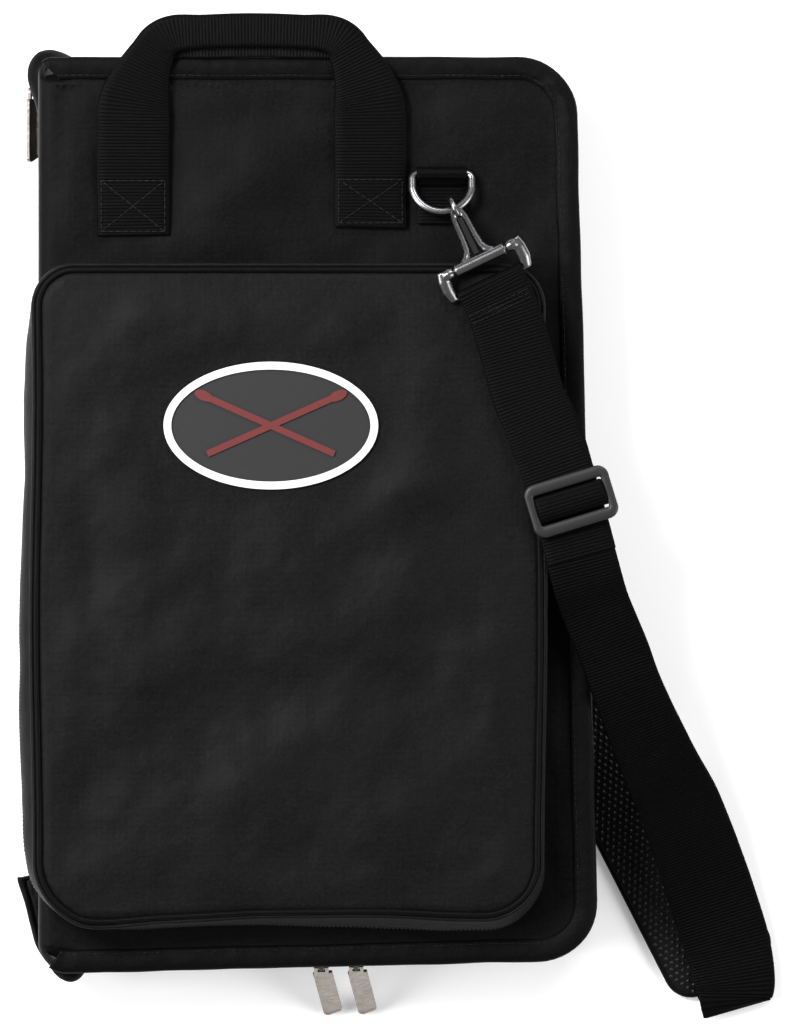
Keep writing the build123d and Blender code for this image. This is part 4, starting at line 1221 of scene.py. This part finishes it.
def bracket_casting(name, pin, far, side, body, node):
    """Two ears that carry the barrel at pin and the strap's bar at far."""
    way = (far - pin).normalized()
    up = upward(side, way)
    parts = [solid_tube([p - side * BAR_HALF, p + side * BAR_HALF], [BAR_R] * 2) for p in (pin, far)]
    for s in (-1, 1):
        knuckle = [pin + side * (s * a) for a in (15.2, 17.5, 20.5)]
        parts.append(solid_tube(knuckle, [2.6, 3.2, 3.0], 16))
        leg = [pin + side * (s * a) + way * b for a, b in ((20.4, -2.6), (21.4, 2.5), (21.6, 8),
                                                           (20.6, 13.6))]
        parts.append(solid_tube(leg, [3.0, 3.5, 3.4, 2.6], 14, up=up, flat=0.75))
    cast(name, parts, 0.45, body, node)


hook_casting("snap_hook_casting", EYE, PIN, HOOK_SIDE, "snap_hook", "snap_hook")
bracket_casting("strap_bracket_casting", PIN, FAR, HOOK_SIDE, "front_cover", "strap_bracket")
# The second hook lies behind the bag, the same castings turned flat.
R_PIN = Vector((84.0, 106.0, 7.6))
R_FAR = R_PIN + Vector((0.07, -1, 0)).normalized() * 13 + Vector((0, 0, -2.4))
R_SIDE = Vector((1, 0.07, 0)).normalized()
hook_casting("rear_hook_casting", Vector((82.0, 147.6, 7.5)), R_PIN, R_SIDE, "back_half", "rear_snap_hook")
bracket_casting("rear_bracket_casting", R_PIN, R_FAR, R_SIDE, "back_half", "rear_strap_bracket")

adj_mid = Vector((ADJ.x, ADJ.y, ADJ_LOW[2] + 1.5))
ADJ_X, ADJ_Y = 20.4, 11.1      # half size of the frame's centre line
frame_line = rounded([(-ADJ_X, -ADJ_Y), (ADJ_X, -ADJ_Y), (ADJ_X, ADJ_Y), (-ADJ_X, ADJ_Y)], [3.6] * 4, 0, 14)
loop_pts = [adj_mid + ADJ_SIDE * p.x + ADJ_DIR * p.y for p in frame_line]
rings = []
count = len(loop_pts)
for i in range(count):
    way = (loop_pts[(i + 1) % count] - loop_pts[i - 1]).normalized()
    out = way.cross(Z).normalized()
    along = abs(way.dot(ADJ_SIDE))
    half = 2.25 + 0.85 * along
    rows = [(-half, 0.5), (-half, -0.7), (-half * 0.8, -1.3), (half * 0.8, -1.3), (half, -0.7), (half, 0.5),
            (half * 0.72, 1.3), (0, 1.5), (-half * 0.72, 1.3)]
    rings.append([loop_pts[i] + out * a + Vector((0, 0, b)) for a, b in rows])
rings.append(rings[0])
middle_bar = solid_tube([adj_mid - ADJ_SIDE * 20, adj_mid + ADJ_SIDE * 20], [1.3, 1.3])
adjuster_frame = make_object("adjuster_frame", *merge(stack(rings), middle_bar), MOULDED)
weld(adjuster_frame)
bevel = adjuster_frame.modifiers.new("round", "SUBSURF")
bevel.levels = bevel.render_levels = 1
apply_modifiers(adjuster_frame)
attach(adjuster_frame, "strap_adjuster")
declare(adjuster_frame, "black_nickel", "strap_adjuster")

# Adjuster: webbing end looped over the middle bar, sewn below it.
mid = Vector((ADJ.x, ADJ.y, ADJ_LOW[2] + 1.3))
loop = []
for k in range(9):
    turn = math.pi * (k / 8) - 0.15
    spot = mid - ADJ_DIR * math.cos(turn) * 6.4
    loop.append((spot.x, spot.y, mid.z + math.sin(turn) * 2.6 - 0.6, *ADJ_SIDE))
adjuster_loop = webbing("adjuster_loop", loop, LOWER_W, 1.3, "strap_adjuster", ribs=0.4)
declare(adjuster_loop, "webbing_black", "adjuster_webbing", flat=(0.038, 0.015), held="folded")


def ring_tab(name, node, x, y, z, away, up, rise, body):
    """Webbing tab sewn flat and looped round the bar of a ring at (x, y, z)."""
    line = [(x, y + away * 26, z - up * rise), (x, y + away * 14, z - up * rise),
            (x, y + away * 3, z - up * (rise - 0.1))]
    for k in range(8):
        turn = math.pi * (0.1 + 1.35 * k / 7)
        line.append((x, y - away * 3.1 * math.sin(turn), z - up * 3.1 * math.cos(turn)))
    line.append((x, y + away * 6, z - up * (rise - 1.7)))
    points = [(*p, 1, 0, 0) for p in line]
    piece = webbing(name, points, 26, 1.3, body, ribs=0.3)
    declare(piece, "webbing_black", node, flat=(0.026, 0.044), held="folded")


D_LOW, D_HIGH = box_mm("d_ring_tab")
ring_tab("ring_tab_front", "d_ring_tab", middle(D_LOW, D_HIGH)[0], 176.0, FRONT_Z + 4.2, -1, 1, 3.4,
         "front_cover")
ring_tab("ring_tab_rear", "rear_ring_tab", 82.0, 168.0, 10.8, 1, -1, 3.4, "back_half")


# ---- shoulder pad ----
def pad_point(u, v, z):
    p = PAD_LOW + PAD_SIDE * u + PAD_DIR * v
    return Vector((p.x, p.y, z))


def pad_line(inset):
    half = PAD_W / 2
    return rounded([(-half, 0), (half, 0), (half, PAD_LEN), (-half, PAD_LEN)], [PAD_R] * 4, inset, 40, 10)


def pad_skin(spec, fill_z, up):
    lines = [[pad_point(p.x, p.y, z) for p in pad_line(inset)] for inset, z in spec]
    verts, faces = fill([(p.x, p.y) for p in pad_line(spec[-1][0])], fill_z, 4.0)
    return surface(lines, ([tuple(pad_point(*v)) for v in verts], faces), up)


def pad_edge_gap(u, v):
    return min(u + PAD_W / 2, PAD_W / 2 - u, v, PAD_LEN - v)


def pad_top_z(u, v):
    return 5.2 + 0.9 * ease(pad_edge_gap(u, v) / 14) + 0.25 * rumple(u, v, 20, 3.0)


def pad_low_z(u, v):
    return 1.0 - 0.9 * ease(pad_edge_gap(u, v) / 10)


upper_part = pad_skin([(0.6, 3.2), (0.2, 3.9), (0.9, 4.8), (2.6, 5.3)], pad_top_z, True)
lower_part = pad_skin([(0.6, 3.2), (0.3, 2.4), (1.0, 1.4), (2.6, 1.0)], pad_low_z, False)
pad = make_object("pad_cushion", *merge(upper_part, lower_part), OXFORD, None)
weld(pad, 0.2)
apply_modifiers(pad)
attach(pad, "shoulder_pad")
declare(pad, "oxford_black", "shoulder_pad", pad=0.8)


def dot(u, v):
    """Low six-sided dome on the cushion."""
    z = pad_top_z(u, v)
    lines = []
    for wide, deep, rise in ((1.35, 1.2, -0.1), (0.85, 0.8, 0.55)):
        turns = [math.pi * k / 3 for k in range(6)]
        lines.append([pad_point(u + wide * math.cos(t), v + deep * math.sin(t), z + rise) for t in turns])
    verts, faces = stack(lines)
    return verts + [pad_point(u, v, z + 0.75)], faces + [(6 + k, 6 + (k + 1) % 6, 12) for k in range(6)]


DOT_ACROSS, DOT_ALONG, DOT_EDGE = 3.5, 3.1, 3
dots = []
row = 0
v = 3.5
while v < PAD_LEN - DOT_EDGE:
    u = -PAD_W / 2 + 3.2 + (DOT_ACROSS / 2 if row % 2 else 0)
    while u < PAD_W / 2 - DOT_EDGE:
        if abs(u) < PAD_W / 2 - DOT_EDGE - max(0, 12 - min(v, PAD_LEN - v)) * 0.8:
            dots.append(dot(u, v))
        u += DOT_ACROSS
    v += DOT_ALONG
    row += 1
grip = make_object("pad_grip_dots", *merge(*dots), GRIP, "shoulder_pad")
declare(grip, "grip_mesh_black", "pad_grip_mesh")
pad_edge = tube("pad_edge_binding", [pad_point(p.x, p.y, 3.6) for p in pad_line(1.4)], 2.0, "shoulder_pad",
                BINDING)

# ---- zip end tabs ----
def flap(name, outer, inner, z_out, z_in, thick, material, body):
    """Soft flap between two plan lines, its outer edge at z_out and its inner edge at z_in."""
    a, _ = smooth_line([(x, y, 0) for x, y in outer], 1.2)
    b, _ = smooth_line([(x, y, 0) for x, y in inner], 1.2)
    count = len(a) - 1
    lines = []
    steps = 6
    for i in range(count + 1):
        p = Vector(a[i][:3])
        t = i / count * (len(b) - 1)
        q = Vector(b[int(t)][:3]).lerp(Vector(b[min(int(t) + 1, len(b) - 1)][:3]), t - int(t))
        row = []
        for k in range(steps + 1):
            f = k / steps
            spot = p.lerp(q, f)
            crumple = 0.7 * noise.noise(Vector((i / 6, f * 2, z_in)))
            z = z_out + (z_in - z_out) * f + 1.6 * math.sin(math.pi * f) + crumple
            row.append(Vector((spot.x, spot.y, z)))
        lines.append(row)
    verts, faces = stack(lines, close=False)
    return make_object(name, *closed_sheet(verts, faces, thick), material, body)


tab_top = flap("zip_end_tab_top", [(-126, 238.6), (-131, 240.9), (-137.5, 242.4), (-144, 240.6),
                                   (-148.2, 235), (-149.2, 228), (-147.6, 221), (-144.6, 212),
                                   (-143.0, 202), (-142.6, 192)],
               [(-126, 235), (-131, 235.4), (-136, 235.6), (-139.5, 234), (-141, 228), (-141.4, 220),
                (-141.2, 212),
                (-141.0, 204), (-140.8, 196), (-140.6, 190)], 29.0, 34.0, 1.6, BINDING, "back_half")
declare(tab_top, "binding_black", "zip_tab_top", flat=(0.012, 0.064), area=0.0007, held="folded")
tab_low = flap("zip_end_tab_low", [(-132.5, -241.4), (-138.4, -236.0), (-144.4, -227.0), (-147.6, -216),
                                   (-150.6, -204), (-154.4, -191.8), (-152, -190.6), (-146, -189.2)],
               [(-130.5, -238.0), (-136.4, -234.0), (-141.4, -225.5), (-143.8, -215), (-146.4, -204),
                (-149.4, -193.4), (-147, -192), (-144, -190)], 32.5, 33.0, 1.8, BINDING, "back_half")
declare(tab_low, "binding_black", "zip_tab_bottom", flat=(0.010, 0.064), area=0.0004, held="folded")
gusset_low = flap("zip_end_gusset", [(-131.5, -240.4), (-137.4, -235.2), (-143.4, -226.5), (-146.4, -216),
                                     (-149.2, -204), (-151.6, -190.6)],
                  [(-124, -232), (-130, -230), (-136, -224), (-138, -214), (-139, -204), (-139, -189)],
                  24.0, 26.0, 1.6, OXFORD_WALL_SHADED, "back_half")
declare(gusset_low, "oxford_black", flat=(0.012, 0.058), area=0.00055, held="folded")
bump = flap("zip_end_loop_low", [(-137.5, -237.6), (-134.5, -241.6), (-130.5, -244.6), (-126, -245.6),
                                 (-121.8, -243.8), (-119.0, -240.4)],
            [(-134, -236), (-131, -236.5), (-128, -236.8), (-125, -236.8), (-122, -236.6), (-119.6, -236.4)],
            32.0, 34.8, 1.6, BINDING, "back_half")
declare(bump, "binding_black", flat=(0.010, 0.022), area=0.00018, held="folded")

# ---- hardware and badge ----
PAINT = {
    NICKEL: ("pull_left", "pull_right", "slider_left", "slider_right", "rear_slider", "rear_pull"),
    BLACK_NICKEL: ("pocket_slider", "pocket_pull"),
    DARK_NICKEL: ("d_ring", "rear_d_ring"),
    GATE_STEEL: ("snap_hook_gate", "rear_hook_gate"),
    RUBBER_DARK: ("badge_ground",),
    RUBBER_PALE: ("badge_rim",),
    RUBBER_RED: ("badge_sticks",),
}
for finish, node_names in PAINT.items():
    for node in node_names:
        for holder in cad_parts[node].material_slots:
            holder.material = finish
